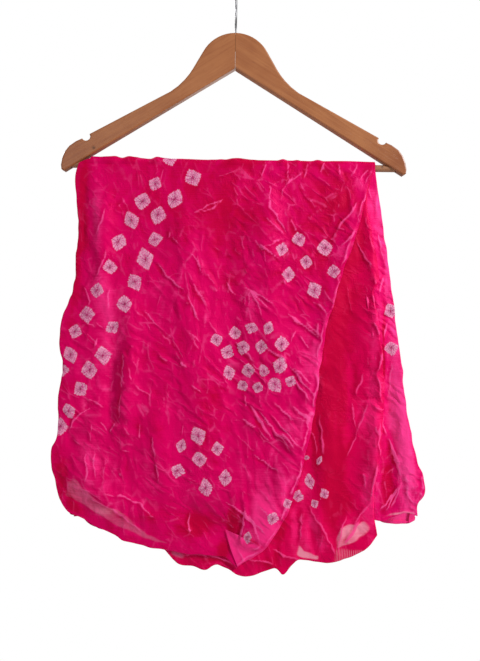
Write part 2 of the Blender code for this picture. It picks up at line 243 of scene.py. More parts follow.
OUTER_FRONT_CREASES = rows_of(
    Crease,
    # The tip that stands clear of the hem behind it.
    (20, 428, 14, 480, 0, 7, 3.2, STEP), (36, 428, 60, 452, 0, 5, 1.8), (24, 440, 40, 480, 2, 4, 1.6),
    (26, 478, 42, 482, 3, 2, -1.2), (30, 484, 40, 478, -3, 2, 1.2), (10, 480, 22, 503, 0, 2.5, 1.2),
    # Upper left.
    (-188, -4, -194, 61, 0, 6, -1.4), (-194, 61, -198, 150, 2, 6, -1.4),
    (-144, 40, -130, 66, 0, 2.2, 0.9), (-146, 48, -137, 71, 0, 2.5, 0.7), (-99, -3, -98, 18, 0, 2.5, 0.9),
    (-90, 5, -93, 26, 0, 2.2, 1.0), (-100, 124, -57, 168, -1, 3.5, 1.5, STEP),
    (-57, 168, -42, 200, 0, 3.5, 1.3, STEP), (-51, 63, -11, 41, -5, 2.2, 1.1),
    (-50, 65, -11, 45, 4, 2.2, 1.1), (-79, 92, -61, 112, 0, 3, 1.0, STEP),
    (-61, 112, -40, 141, 5, 3, 1.1, STEP), (-44, 114, -33, 135, -3, 3, 0.9),
    (-82, 84, -80, 96, 0, 2.5, 1.0), (-83, 145, -60, 138, 0, 4, 0.8),
    (-54, 148, -33, 183, 0, 3, 1.2, STEP), (-45, 152, -28, 187, 0, 2.5, 0.8),
    (-9, 146, 4, 167, 0, 3, 1.2), (-92, 164, -95, 186, 0, 3, 0.9), (-124, 184, -101, 207, 0, 3.5, 0.9),
    (-98, 185, -72, 206, 0, 3.5, 0.8), (-174, 153, -162, 143, 0, 2.5, 0.9),
    (-186, 157, -181, 185, 2, 5, 1.2), (-172, 203, -159, 212, 0, 3, 1.0), (-24, 18, 8, 4, 0, 5, 0.9),
    (0, 27, 8, 42, 0, 3, 0.9), (-81, 89, -28, 88, 9, 4, 0.7), (-162, 55, -175, 96, 3, 12, 1.6),
    (-157, 106, -174, 148, 3, 12, 1.6), (-154, 157, -156, 189, 0, 9, 1.4),
    (-119, 66, -108, 92, 0, 3, 0.7), (-153, 112, -150, 125, 0, 2.5, 0.8), (-131, 87, -124, 66, 0, 4, 0.5),
    # Upper right.
    (41, -9, 34, 17, 2, 2.8, 1.4), (68, -9, 67, 24, 2, 2.5, 1.3), (67, 24, 62, 49, -2, 2.5, 1.0),
    (95, -7, 90, 17, 0, 2.5, 1.1), (88, 7, 67, 25, 0, 2.5, 1.1), (64, 16, 46, 29, 0, 3, 0.8),
    (116, -8, 111, 13, 0, 3, 1.2), (113, 0, 122, 13, 0, 2.5, 0.8), (134, -6, 136, 15, 0, 2.5, 0.9),
    (159, -6, 150, 10, 2, 2.5, 1.2), (173, 2, 161, 17, 0, 3, 1.4), (85, 20, 91, 35, 0, 2.5, 1.0, STEP),
    (91, 35, 106, 59, 0, 2.5, 0.9, STEP), (46, 20, 47, 58, 0, 10, 1.5), (42, 46, 69, 91, 0, 3, 1.6, STEP),
    (37, 67, 65, 94, 2, 3, 1.2, STEP), (52, 69, 70, 90, 0, 2.5, -0.9), (49, 97, 70, 94, -2, 2.5, 0.8),
    (73, 69, 82, 84, 0, 2.5, 1.1), (32, 102, 61, 122, 0, 3.5, 1.2, STEP), (26, 95, 37, 109, 0, 3, 1.0),
    (37, 106, 57, 98, 0, 3, 0.8), (22, 158, 52, 176, 0, 3, 1.2), (23, 159, 48, 186, 0, 3, 1.2),
    (23, 159, 41, 196, 0, 3, 1.2), (22, 160, 22, 186, 0, 3, 1.1), (19, 159, 14, 186, 0, 3, 1.0),
    (10, 156, 23, 159, 0, 3, 1.0), (161, 43, 131, 85, 0, 4, 1.7), (157, 81, 137, 105, 0, 4, 1.4),
    (126, 93, 132, 98, 0, 2.5, 0.9), (101, 172, 122, 192, 2, 3, 1.4), (127, 175, 116, 156, 0, 3, 1.1),
    (66, 135, 66, 151, 0, 2.5, 0.8), (65, 52, 53, 64, 0, 6, 0.8),
    # Lower left.
    (-137, 241, -139, 289, 1, 5, 3.0, STEP), (-139, 289, -144, 327, 2, 6, 3.2, STEP),
    (-144, 327, -154, 342, 0, 5, 1.8, STEP), (-130, 257, -123, 279, 0, 3, 1.0),
    (-123, 279, -95, 300, 0, 3, 1.1), (-172, 310, -206, 345, -7, 9, 3.0, STEP),
    (-99, 344, -95, 376, 0, 3.5, 1.8, STEP), (-95, 376, -90, 406, 1, 3, 1.4, STEP),
    (-91, 243, -80, 251, 0, 2.5, 1.0), (-65, 253, -56, 260, 0, 3, 1.3), (-57, 214, -37, 228, 0, 3, 1.1),
    (-89, 214, -74, 232, 0, 3, 1.0), (-51, 220, -40, 238, 0, 3, 1.1),
    (-115, 187, -90, 210, 0, 4, 1.2, STEP), (-90, 210, -59, 256, 4, 3.5, 0.9, STEP),
    (-50, 279, -35, 291, 0, 3, 1.3), (-79, 274, -80, 303, 0, 5, 0.9), (-58, 329, -62, 348, 0, 4, 1.0),
    (-181, 301, -157, 310, 0, 3, 1.2), (-188, 203, -169, 211, 0, 3, 1.1),
    (-186, 216, -169, 231, 0, 3, 1.0), (-170, 223, -173, 234, 0, 3, 1.0),
    (-161, 269, -148, 275, 0, 3, 0.8), (-175, 327, -177, 357, 0, 5, 1.0),
    (-165, 327, -155, 343, 0, 3, 1.1), (-199, 350, -187, 360, 0, 3, 1.0),
    (-135, 331, -122, 346, -3, 3, 1.0), (-139, 362, -123, 368, 0, 3, 0.9),
    (-113, 329, -116, 351, 0, 6, 1.0), (-56, 396, -38, 404, 0, 3, 0.9), (-31, 379, -19, 388, 0, 2.5, 1.0),
    (-88, 390, -71, 388, 3, 3, 0.8), (-7, 267, -4, 284, 0, 2.5, 0.8), (-130, 211, -131, 248, 0, 8, -1.0),
    (-30, 199, -13, 219, 0, 3, 0.9), (-165, 418, -92, 452, 10, 5, 1.6),
    (-204, 410, -152, 430, 4, 2.5, 1.0), (-178, 424, -124, 452, 3, 2.5, 1.1),
    (-150, 438, -104, 472, 2, 2.5, 1.0), (-186, 432, -140, 456, 0, 2.5, 0.8),
    (-182, 364, -181, 408, 2, 5, 1.4), (-168, 360, -168, 404, -2, 4, 1.2),
    (-156, 372, -158, 400, 0, 3, 0.9),
    # Lower right, where the creases run down at a slant.
    (3, 225, 31, 253, 0, 3, 1.4, STEP), (8, 246, 34, 269, 0, 3, 1.2, STEP),
    (44, 234, 68, 250, 0, 3, 1.3, STEP), (68, 253, 109, 294, 0, 3.5, 1.7, STEP),
    (79, 257, 105, 279, 0, 3, 1.3), (81, 272, 103, 300, 0, 3, 1.2), (75, 226, 82, 211, 0, 2.8, 1.3),
    (87, 217, 101, 235, 0, 3, 1.3), (78, 195, 112, 222, 0, 3.5, 1.6, STEP),
    (92, 200, 114, 217, 0, 3, 1.2), (110, 197, 109, 216, 0, 3, 1.2), (69, 187, 86, 200, 0, 3, 1.1),
    (18, 290, 20, 309, 0, 3, 1.2), (38, 292, 41, 310, 0, 3, 1.0), (48, 269, 49, 294, 0, 3, 1.0),
    (22, 300, 54, 349, -3, 3, 1.3, STEP), (29, 306, 81, 369, 0, 3.5, 2.3, STEP),
    (48, 313, 94, 364, 0, 3.5, 1.8), (66, 310, 80, 325, 0, 3, 1.1),
    (74, 304, 102, 324, 0, 3.5, 1.2, STEP), (12, 323, 37, 337, 0, 3, 1.2, STEP),
    (35, 336, 50, 355, 0, 3, 1.1, STEP), (25, 367, 67, 392, 0, 3.5, 1.5, STEP),
    (3, 338, 36, 367, 0, 3, 0.9), (80, 315, 102, 331, 0, 3, 1.0), (60, 339, 84, 359, 0, 3, 1.0),
    (-8, 367, 1, 373, 0, 3, 0.9), (65, 372, 78, 395, 0, 4, 0.9), (-48, 440, -50, 470, 0, 5, 1.6),
    (14, 440, 52, 470, 0, 4, 1.6, STEP), (-10, 425, 30, 452, 3, 4, 1.2),
)

MIDDLE_FRONT_CREASES = rows_of(
    Crease,
    (156, 91, 178, 128, -2, 3.5, 1.3, STEP), (143, 144, 156, 193, 0, 3, 0.8),
    (167, 62, 173, 82, 0, 2.5, 1.0), (173, 82, 180, 111, 0, 2.5, 1.0), (180, 59, 184, 124, -2, 2.5, -1.0),
    (177, 162, 184, 184, 0, 3, 1.2), (113, 257, 133, 288, 4, 9, -1.4), (169, 260, 160, 294, 0, 9, 1.4),
    (154, 295, 190, 295, 0, 4, -1.5, STEP), (156, 297, 161, 337, 0, 5, 1.3),
    (174, 298, 160, 338, 0, 4, 1.4, STEP), (160, 338, 145, 371, 2, 6, 1.3, STEP),
    (181, 198, 189, 219, 0, 2.6, 2.6), (189, 219, 184, 264, 3, 2.8, 2.6),
    (184, 264, 191, 296, 0, 2.8, 2.6), (182, 304, 194, 311, 0, 3, 1.5),
    (191, 322, 191, 370, -3, 2.8, 2.6), (182, 328, 191, 343, 0, 4, 1.3),
    (190, 372, 182, 401, 0, 2.8, 2.6), (170, 387, 173, 411, 0, 3, 1.3),
    (112, 315, 117, 373, 0, 5, 1.6, STEP), (101, 331, 110, 369, 2, 6, 1.1),
    (131, 210, 133, 256, 0, 12, -1.2), (122, 329, 119, 373, 0, 8, -1.3),
    (187, 370, 178, 425, 0, 3.5, 2.4), (178, 425, 160, 456, 0, 3, 2.4), (166, 450, 146, 484, 0, 3.5, 1.5),
    # The folds that spread to the hem beside the outer stretch's tip.
    (98, 428, 137, 500, 4, 8, 2.6), (92, 436, 88, 480, 0, 5, 2.0, STEP), (76, 440, 62, 508, -3, 7, -2.0),
    (52, 486, 96, 500, -2, 4, 1.6), (104, 452, 112, 496, 0, 6, -1.6), (150, 440, 138, 492, 0, 3, 1.6),
    (170, 448, 150, 478, 0, 3, 1.4), (-60, 498, -20, 500, 3, 3, 1.2),
    (-30, 494, 10, 512, 0, 4, 1.4, STEP), (20, 500, 60, 508, 3, 4, 1.4),
)

INNER_FRONT_CREASES = rows_of(
    Crease,
    (192, 322, 198, 345, 0, 3, 1.5, STEP), (198, 345, 215, 385, 2, 3, 1.6, STEP),
    (194, 143, 188, 163, 0, 3, 1.4), (187, 82, 191, 111, 0, 3, 1.2), (172, 23, 179, 42, 0, 3, 1.2),
    (184, 28, 183, 59, 0, 3, 1.1), (199, 197, 194, 221, 0, 4, 1.3), (204, 245, 202, 293, 0, 6, 1.2),
    (203, 350, 220, 398, 0, 4, 1.3), (220, 398, 206, 438, 0, 4, 1.3), (217, 400, 190, 437, 3, 3, 1.6),
    (213, 408, 200, 440, 0, 3, 1.4), (224, 402, 236, 430, -2, 3, 1.4),
)

BACK_CREASES = rows_of(
    Crease,
    (-190, 190, -176, 320, 8, 7, 2.0, STEP), (-150, 240, -140, 330, 0, 4, 1.5, STEP),
    (-196, 40, -188, 120, 3, 5, 1.5), (-130, 300, -136, 410, 4, 6, 2.2, STEP),
    (-190, 370, -150, 400, 6, 5, 1.6), (-110, 410, -60, 436, 6, 5, 1.5),
    (-170, 300, -162, 372, -4, 4, 1.6), (-206, 340, -196, 400, 3, 4, 1.4, STEP),
    (-160, 400, -120, 446, 4, 5, 1.4, STEP),
)

OUTER_FRONT_CRINKLES = rows_of(
    Crinkles,
    ((-196, -20), (-28, 200), 98, 38, 80, (8, 26), (1.8, 3.0), (0.25, 0.75), 11),
    ((0, 168), (-28, 120), 84, 55, 90, (8, 26), (1.8, 3.0), (0.3, 0.9), 12),
    ((-70, 100), (90, 230), 48, 26, 90, (10, 30), (1.8, 3.2), (0.3, 0.9), 13),
    ((-20, 112), (225, 480), 47, 13, 150, (12, 38), (1.8, 3.4), (0.35, 1.1), 14),
    ((-220, -110), (200, 440), 92, 40, 90, (8, 24), (1.8, 3.2), (0.25, 0.8), 15),
    ((-140, -20), (370, 485), 14, 16, 34, (14, 36), (2.0, 3.5), (0.3, 0.8), 16),
    ((-140, -10), (200, 400), 52, 34, 90, (10, 30), (1.8, 3.2), (0.25, 0.8), 17),
    ((80, 180), (0, 470), 100, 40, 60, (6, 16), (1.6, 2.6), (0.4, 1.1), 18),
)
MIDDLE_FRONT_CRINKLES = rows_of(
    Crinkles,
    ((175, 194), (50, 465), 84, 38, 66, (6, 20), (1.6, 2.8), (0.5, 1.2), 21),
    ((100, 172), (90, 480), 84, 24, 20, (30, 70), (4.0, 8.0), (0.3, 0.8), 22),
    ((-90, 190), (430, 525), 84, 36, 70, (8, 24), (1.8, 3.2), (0.3, 0.9), 23),
)
INNER_FRONT_CRINKLES = rows_of(
    Crinkles,
    ((222, 246), (380, 442), 18, 34, 34, (6, 16), (1.8, 3.0), (0.5, 1.1), 32),
    ((182, 248), (20, 445), 82, 28, 170, (8, 26), (1.6, 3.0), (0.35, 1.0), 31),
)
BACK_CRINKLES = rows_of(
    Crinkles,
    ((-215, 60), (-28, 230), 96, 36, 140, (8, 28), (1.8, 3.2), (0.3, 0.9), 41),
    ((30, 190), (-28, 230), 84, 45, 100, (8, 28), (1.8, 3.2), (0.3, 0.9), 42),
    ((-220, -60), (220, 480), 88, 40, 110, (8, 28), (1.8, 3.2), (0.3, 0.8), 43),
    ((-80, 180), (220, 490), 134, 18, 150, (12, 36), (1.8, 3.4), (0.35, 1.1), 44),
    ((180, 248), (40, 450), 82, 28, 120, (8, 26), (1.6, 3.0), (0.35, 1.0), 45),
)

# Patches of painted light on each panel, and of painted shade where the amount is below zero.
FRONT_PAINTED_LIGHT = rows_of(
    PaintedLight,
    (0, 50, 240, 110, -0.55), (0, -5, 260, 7, -0.25), (120, 130, 60, 120, -0.25), (163, 26, 7, 20, 0.8),
    (152, 74, 5, 22, 0.7), (139, 106, 8, 14, 0.9), (129, 160, 5, 18, 0.8), (120, 196, 6, 18, 0.7),
    (109, 250, 5, 30, 0.6), (101, 320, 4, 40, 0.5), (-192, 60, 8, 60, -0.7), (-200, 160, 9, 60, -0.6),
    (-172, 70, 9, 46, 0.9), (-54, 125, 26, 26, 0.35), (60, 60, 12, 30, 0.5), (34, 114, 16, 20, 0.45),
    (25, 176, 16, 30, 0.45), (-163, 179, 12, 30, 0.5), (-81, 245, 24, 30, -0.3), (5, 147, 22, 22, -0.35),
    (-147, 262, 5, 30, -0.5), (-170, 150, 14, 26, 0.5), (-156, 196, 12, 40, 0.5),
    (-150, 262, 14, 40, 0.35), (-212, 250, 12, 60, -0.35), (-26, 320, 20, 80, -0.5),
    (-105, 300, 30, 60, -0.2), (44, 44, 9, 30, 0.4), (128, 40, 26, 34, -0.3), (96, 250, 14, 50, 0.35),
    (84, 330, 14, 40, 0.3), (-185, 366, 24, 30, 0.25), (-205, 400, 12, 30, -0.3), (60, 405, 20, 30, 0.3),
    (2, 60, 14, 60, -0.25), (44, 449, 17, 34, 1.1), (30, 492, 16, 14, 0.8), (5, 451, 8, 16, -1.3),
    (-7, 489, 8, 13, -1.1), (-38, 455, 34, 13, -1.1), (-100, 440, 40, 14, -0.3),
    (-214, 396, 11, 34, -0.6), (-174, 385, 10, 26, 0.45), (-140, 440, 30, 8, 0.45),
    (-60, 470, 30, 7, -0.4), (-196, 425, 7, 20, -0.5),
)
MIDDLE_PAINTED_LIGHT = rows_of(
    PaintedLight,
    (142, 180, 26, 110, -0.75), (130, 340, 20, 120, -1.0), (160, 90, 12, 60, -0.6),
    (145, 120, 5, 40, -0.7), (124, 195, 5, 40, -0.7), (114, 262, 6, 40, -1.0), (109, 330, 6, 50, -1.0),
    (182, 300, 8, 200, 0.7), (133, 300, 3, 60, 0.4), (160, 270, 4, 16, -0.5), (170, 314, 10, 16, 0.25),
    (150, 452, 12, 14, 0.7), (176, 420, 10, 26, 0.8), (166, 318, 9, 24, 0.2), (142, 430, 20, 34, -0.8),
    (62, 464, 15, 14, -0.8), (50, 505, 26, 10, -0.5), (-30, 500, 34, 12, -0.5), (108, 456, 10, 22, 0.9),
    (120, 482, 9, 12, 0.8), (83, 462, 7, 18, 1.0), (166, 300, 8, 60, 0.2),
)
INNER_PAINTED_LIGHT = rows_of(
    PaintedLight,
    (194, 230, 2.5, 100, -0.9), (203, 385, 9, 46, -0.8), (188, 50, 6, 40, 0.7), (198, 120, 6, 50, 0.8),
    (208, 290, 8, 60, 0.9), (214, 180, 8, 80, 0.3), (220, 330, 10, 60, 0.9), (228, 400, 12, 40, 0.8),
    (196, 420, 8, 30, -0.5),
)
BACK_PAINTED_LIGHT = rows_of(
    PaintedLight,
    (-150, 120, 18, 80, 0.35), (-60, 260, 30, 70, -0.35), (60, 120, 18, 70, -0.25),
    (110, 300, 18, 60, 0.35), (-190, 330, 20, 50, -0.3), (10, 420, 40, 30, 0.25),
)

OUTER_FRONT = outline(
    left=(
        (0, -198), (22, -202), (69, -196), (118, -197), (159, -200), (196, -213), (230, -218),
        (263, -212), (297, -217), (346, -217), (370, -225), (397, -222), (433, -210), (440, -193),
        (441, -185),
    ),
    right=(
        (0, 181), (26, 171), (78, 158), (132, 141), (196, 122), (257, 112), (312, 105), (368, 94),
        (421, 80), (452, 66), (486, 44), (510, 11),
    ),
    hem=(
        (441, -185), (448, -182), (469, -148), (481, -119), (489, -81), (495, -30), (496, -6), (510, 11),
    ),
)
OUTER_BACK = outline(
    left=((0, -198), (64, -200), (174, -208), (240, -219), (359, -222), (413, -216)),
    right=((0, 181), (169, 184), (327, 179), (430, 160), (462, 148), (497, 132)),
    hem=(
        (413, -216), (430, -204), (439, -169), (462, -128), (487, -109), (492, -93), (494, -38),
        (484, 30), (500, 90), (500, 122), (497, 132),
    ),
)
MIDDLE_FRONT = outline(
    left=((0, -171), (175, -136), (364, -101), (489, -82)),
    right=(
        (0, 181), (29, 172), (57, 170), (96, 178), (143, 186), (160, 178), (198, 185), (251, 191),
        (311, 193), (364, 189), (421, 181), (450, 185), (469, 188),
    ),
    hem=(
        (489, -82), (506, -62), (508, -44), (514, -28), (508, -14), (521, 20), (511, 57), (519, 70),
        (500, 88), (502, 112), (502, 136), (487, 170), (469, 188),
    ),
)
MIDDLE_BACK = outline(
    left=((0, -171), (239, -159), (443, -144)),
    right=((0, 181), (169, 191), (326, 204), (438, 188)),
    hem=((443, -144), (470, -60), (480, 28), (462, 110), (445, 160), (438, 188)),
)
INNER_FRONT = outline(
    left=((0, 85), (440, 154)),
    right=(
        (0, 181), (29, 185), (83, 193), (142, 201), (214, 211), (299, 222), (361, 234), (408, 248),
        (431, 239), (444, 239),
    ),
    hem=((440, 154), (451, 193), (446, 207), (440, 222), (444, 239)),
)
INNER_BACK = outline(
    left=((0, 86), (451, 145)),
    right=((0, 181), (26, 185), (81, 193), (214, 212), (335, 230), (408, 248), (432, 245), (456, 242)),
    hem=((451, 145), (454, 190), (459, 205), (461, 232), (456, 242)),
)

LEFT_BORDER_OUTER = (
    (-82, -7), (-100, 26), (-115, 48), (-129, 74), (-144, 101), (-154, 134), (-170, 164),
    (-182, 194), (-197, 215), (-204, 245), (-213, 264),
)
LEFT_BORDER_INNER = (
    (-52, 17), (-74, 45), (-95, 67), (-98, 97), (-111, 121), (-124, 152), (-135, 180),
    (-151, 210), (-162, 245), (-179, 264), (-189, 288), (-203, 317), (-214, 336),
)
UPPER_ROSETTE = ((94, 123), (84, 94), (63, 108), (118, 105), (71, 140), (129, 135), (105, 159))
LOWER_ROSETTE = ((-38, 375), (-40, 345), (-61, 358), (-15, 362), (-65, 390), (-5, 397), (-30, 409))
CLUSTER = (
    (-19, 224), (5, 215), (25, 208), (46, 208), (-4, 239), (15, 233), (38, 232), (64, 228),
    (-2, 265), (22, 262), (42, 262), (61, 255), (15, 281), (35, 282), (56, 278), (76, 275),
)
BACK_BORDER_OUTER = (
    (70, -8), (88, 24), (104, 52), (120, 78), (132, 108), (143, 138), (152, 168), (160, 200),
    (167, 232), (172, 262),
)
BACK_BORDER_INNER = (
    (40, 16), (60, 44), (80, 70), (94, 98), (104, 128), (114, 158), (124, 188), (131, 220),
    (139, 250), (145, 282), (151, 314),
)


def ease(value: Grid) -> Grid:
    """Return a smooth step from 0 to 1."""
    value = np.clip(value, 0.0, 1.0)
    return value * value * (3 - 2 * value)


def along(stops: tuple, shares: Grid) -> Grid:
    """Return points on a smooth curve through the stops.

    Args:
        stops: The points that the curve goes through, as (drop, across).
        shares: How far along each wanted point is, from 0 to 1.

    Returns:
        One (drop, across) for each share.
    """
    points = np.array(stops, float)
    spans = np.linalg.norm(np.diff(points, axis=0), axis=1)
    ends = np.concatenate(([0.0], np.cumsum(spans)))
    reach = np.clip(shares, 0.0, 1.0) * ends[-1]
    index = np.clip(np.searchsorted(ends, reach, side="right") - 1, 0, len(spans) - 1)
    t = np.clip((reach - ends[index]) / spans[index], 0.0, 1.0)[:, None]
    before = points[np.maximum(index - 1, 0)]
    start = points[index]
    end = points[index + 1]
    after = points[np.minimum(index + 2, len(points) - 1)]
    cubic = (3 * start - before - 3 * end + after) * t**3
    square = (2 * before - 5 * start + 4 * end - after) * t**2
    return 0.5 * (2 * start + (end - before) * t + square + cubic)


def fall_grid(fall: Fall, columns: Grid, rows: Grid) -> tuple[Grid, Grid]:
    """Return where each point of a panel is, blended from its four edges.

    Args:
        fall: The panel.
        columns: Shares across the panel.
        rows: Shares down it.

    Returns:
        The across and the drop of each row and column.
    """
    u = columns[None, :, None]
    v = rows[:, None, None]
    left = along(fall.left, rows)[:, None, :]
    right = along(fall.right, rows)[:, None, :]
    foot = along(fall.hem, columns)[None, :, :]
    top_left, top_right = np.array(fall.left[0], float), np.array(fall.right[0], float)
    foot_left, foot_right = np.array(fall.left[-1], float), np.array(fall.right[-1], float)
    top = top_left * (1 - u) + top_right * u
    sides = left * (1 - u) + right * u
    ends = top * (1 - v) + foot * v
    corners = top * (1 - v) + (foot_left * (1 - u) + foot_right * u) * v
    grid = sides + ends - corners
    return grid[..., 1], grid[..., 0]


def value_noise(x: Grid, y: Grid, seed: int) -> Grid:
    """Return smooth random values between -1 and 1 over cells of one unit.

    Args:
        x: Where the places are along one axis.
        y: Where they are along the other.
        seed: Where the noise starts.

    Returns:
        The values.
    """
    table = np.random.default_rng(seed).uniform(-1, 1, (128, 128))
    left, low = np.floor(x).astype(int), np.floor(y).astype(int)
    u, v = ease(x - left), ease(y - low)
    corner = table[left % 128, low % 128]
    right = table[(left + 1) % 128, low % 128]
    above = table[left % 128, (low + 1) % 128]
    opposite = table[(left + 1) % 128, (low + 1) % 128]
    return (corner * (1 - u) + right * u) * (1 - v) + (above * (1 - u) + opposite * u) * v


def crumple(across: Grid, drop: Grid, lean: float, cell: float, seed: int) -> Grid:
    """Return a crumpled relief of long sharp crests, about 0 to 1 high.

    Args:
        across: Where the places are across.
        drop: Where they are under the bar.
        lean: The way the crests run, in degrees turned down from +across.
        cell: How far apart the largest crests are, in mm.
        seed: Where the noise starts.

    Returns:
        The relief.
    """
    angle = math.radians(lean)
    run = across * math.cos(angle) + drop * math.sin(angle)
    aside = drop * math.cos(angle) - across * math.sin(angle)
    aside = aside + 0.6 * cell * value_noise(run / (2 * cell), aside / (2 * cell), seed + 50)
    total = np.zeros_like(across)
    size, share = cell, 0.5
    for octave, turn in enumerate(CRUMPLE_TURNS):
        x = (run * math.cos(turn) + aside * math.sin(turn)) / (3.0 * size)
        y = (aside * math.cos(turn) - run * math.sin(turn)) / size
        total += share * (1 - np.abs(value_noise(x, y, seed + octave))) ** CRUMPLE_SHARPNESS
        size *= CRUMPLE_SHRINKS
        share *= CRUMPLE_WEAKENS
    return total


def reach_of(value: Grid, ends: tuple[float, float]) -> Grid:
    """Return 1 between two ends, fading to 0 across each of them."""
    half = PATCH_FADE / 2
    return ease((value - ends[0] + half) / PATCH_FADE) * ease((ends[1] + half - value) / PATCH_FADE)


def bell(aside: Grid, width: float) -> Grid:
    """Return a soft hump, 1 at its middle."""
    return np.exp(-((aside / width) ** 2))


def lasting(share: Grid, beyond: float, fade: float) -> Grid:
    """Return 1 along a line, fading to 0 a little beyond both of its ends."""
    return ease((share + beyond) / fade) * ease((1 + beyond - share) / fade)


def measured(line: tuple, across: Grid, drop: Grid) -> tuple[Grid, Grid]:
    """Return how far along a line each place is, as a share of it, and how far aside.

    Args:
        line: Its start and its end, as (across, drop, across, drop).
        across: Where the places are across.
        drop: Where they are under the bar.

    Returns:
        The share along it and the distance aside.
    """
    run_x, run_z = line[2] - line[0], line[3] - line[1]
    length = math.hypot(run_x, run_z)
    x, z = across - line[0], drop - line[1]
    return (x * run_x + z * run_z) / length**2, (x * run_z - z * run_x) / length


def wandered(value: Grid, across: Grid, drop: Grid, seed: int) -> Grid:
    """Return one of a place's two values moved a little, so that no crease runs quite straight.

    Args:
        value: The places' across or drop.
        across: Where the places are across.
        drop: Where they are under the bar.
        seed: Where the noise starts.

    Returns:
        The moved value.
    """
    for number, (cell, reach) in enumerate(CREASE_WANDER):
        value = value + reach * value_noise(across / cell, drop / cell, seed + number)
    return value


def folds_at(folds: tuple[Fold, ...], across: Grid, drop: Grid) -> Grid:
    """Return how far the shared folds push the cloth outwards.

    Args:
        folds: The folds.
        across: Where the places are across.
        drop: Where they are under the bar.

    Returns:
        The push outwards, in mm.
    """
    pushed = np.zeros_like(across)
    for fold in folds:
        share, aside = measured(fold[:4], across, drop)
        fade = lasting(share, beyond=0.25, fade=0.45)
        pushed += fold.height * fade * bell(aside, fold.width)
    return pushed


def creases_at(creases: list[Crease], across: Grid, drop: Grid) -> tuple[Grid, Grid, Grid]:
    """Return what all these creases do to the cloth.

    Args:
        creases: The creases.
        across: Where the places are across.
        drop: Where they are under the bar.

    Returns:
        How far they push it outwards, how much worn crest with painted highlight it has, and how much
        painted shade of a hollow.
    """
    pushed = np.zeros_like(across)
    crest = np.zeros_like(across)
    hollow = np.zeros_like(across)
    across = wandered(across, across, drop, 301)
    drop = wandered(drop, across, drop, 303)
    for crease in creases:
        length = math.hypot(crease.to_across - crease.from_across, crease.to_drop - crease.from_drop)
        reach = 0.2 * length + 7 * crease.width + abs(crease.bow)
        near = (
            (across > min(crease.from_across, crease.to_across) - reach)
            & (across < max(crease.from_across, crease.to_across) + reach)
            & (drop > min(crease.from_drop, crease.to_drop) - reach)
            & (drop < max(crease.from_drop, crease.to_drop) + reach)
        )
        if not near.any():
            continue
        share, aside = measured(crease[:4], across[near], drop[near])
        aside = aside - crease.bow * 4 * np.clip(share * (1 - share), 0, 1)
        fade = lasting(share, beyond=0.12, fade=0.4)
        strength = min(1.0, abs(crease.height) / FULL_CREASE) * fade
        # A crest mark is a worn crease's paler dye with painted highlight; a hollow mark is painted shade
        # beside the crease.
        if crease.height < 0:
            profile = bell(aside, crease.width)
            hollow[near] += TROUGH_SHADE * strength * bell(aside, 0.6 * crease.width)
        elif crease.kind is RIDGE:
            profile = 1.1 * np.exp(-np.sqrt(aside**2 + 0.4) / (0.75 * crease.width))
            crest[near] += strength * bell(aside, CREST_MARK_WIDTH)
            hollow[near] += RIDGE_SHADE * strength * bell(aside + 2.6, 1.5)
        else:
            profile = ease((aside + STEP_RISE / 2) / STEP_RISE)
            profile = profile * np.exp(-np.maximum(aside, 0) / (2.4 * crease.width))
            crest[near] += strength * bell(aside - 1.2, 1.25)
            hollow[near] += STEP_SHADE * strength * bell(aside + 2.0, 1.6)
        pushed[near] += crease.height * fade * profile
    return pushed, crest, hollow


def beside(stops: tuple[Edge, ...], aside: float) -> tuple[Crease, ...]:
    """Return the uneven creases that run along an edge, so far aside from it.

    Args:
        stops: The edge.
        aside: How far aside, in mm to its right.

    Returns:
        The creases.
    """
    return tuple(
        Crease(
            start.across + aside, start.drop, end.across + aside, end.drop,
            1.6 if number % 2 else -1.2, 2.4, 1.0 + 0.4 * (number % 3),
        )
        for number, (start, end) in enumerate(zip(stops, stops[1:]))
    )


def behind(creases: tuple[Crease, ...]) -> tuple[Crease, ...]:
    """Return the creases of the front as the back has them, as if seen from behind.

    Args:
        creases: The front's creases.

    Returns:
        The back's creases.
    """
    return tuple(
        crease._replace(
            from_across=TURNED_ABOUT - crease.to_across, from_drop=crease.to_drop,
            to_across=TURNED_ABOUT - crease.from_across, to_drop=crease.from_drop,
        )
        for crease in creases
    )


def scatter(patch: Crinkles) -> list[Crease]:
    """Return the small creases of one patch, the same ones each time.

    Args:
        patch: The patch.

    Returns:
        Its creases.
    """
    rng = np.random.default_rng(patch.seed)
    made = []
    for _ in range(patch.count):
        x = rng.uniform(*patch.across)
        z = rng.uniform(*patch.drop)
        angle = math.radians(patch.lean + rng.normal(0.0, 0.6) * patch.spread)
        length = rng.uniform(*patch.length)
        kind = STEP if rng.random() < 0.4 else RIDGE
        half_x, half_z = 0.5 * length * math.cos(angle), 0.5 * length * math.sin(angle)
        made.append(Crease(
            x - half_x, z - half_z, x + half_x, z + half_z, rng.uniform(-0.12, 0.12) * length,
            rng.uniform(*patch.width), rng.uniform(*patch.height), kind,
        ))
    return made


def ripple(across: Grid) -> Grid:
    """Return the small rise and fall of the cloth along the bar, never below zero.

    Args:
        across: Where the places are across.

    Returns:
        The rise, in mm.
    """
    long_wave, short_wave = RIPPLE_LENGTHS
    rise = np.sin(across * math.tau / long_wave) + np.sin(across * math.tau / short_wave + 1.3)
    return RIPPLE_HEIGHT * (2 + rise) / 2


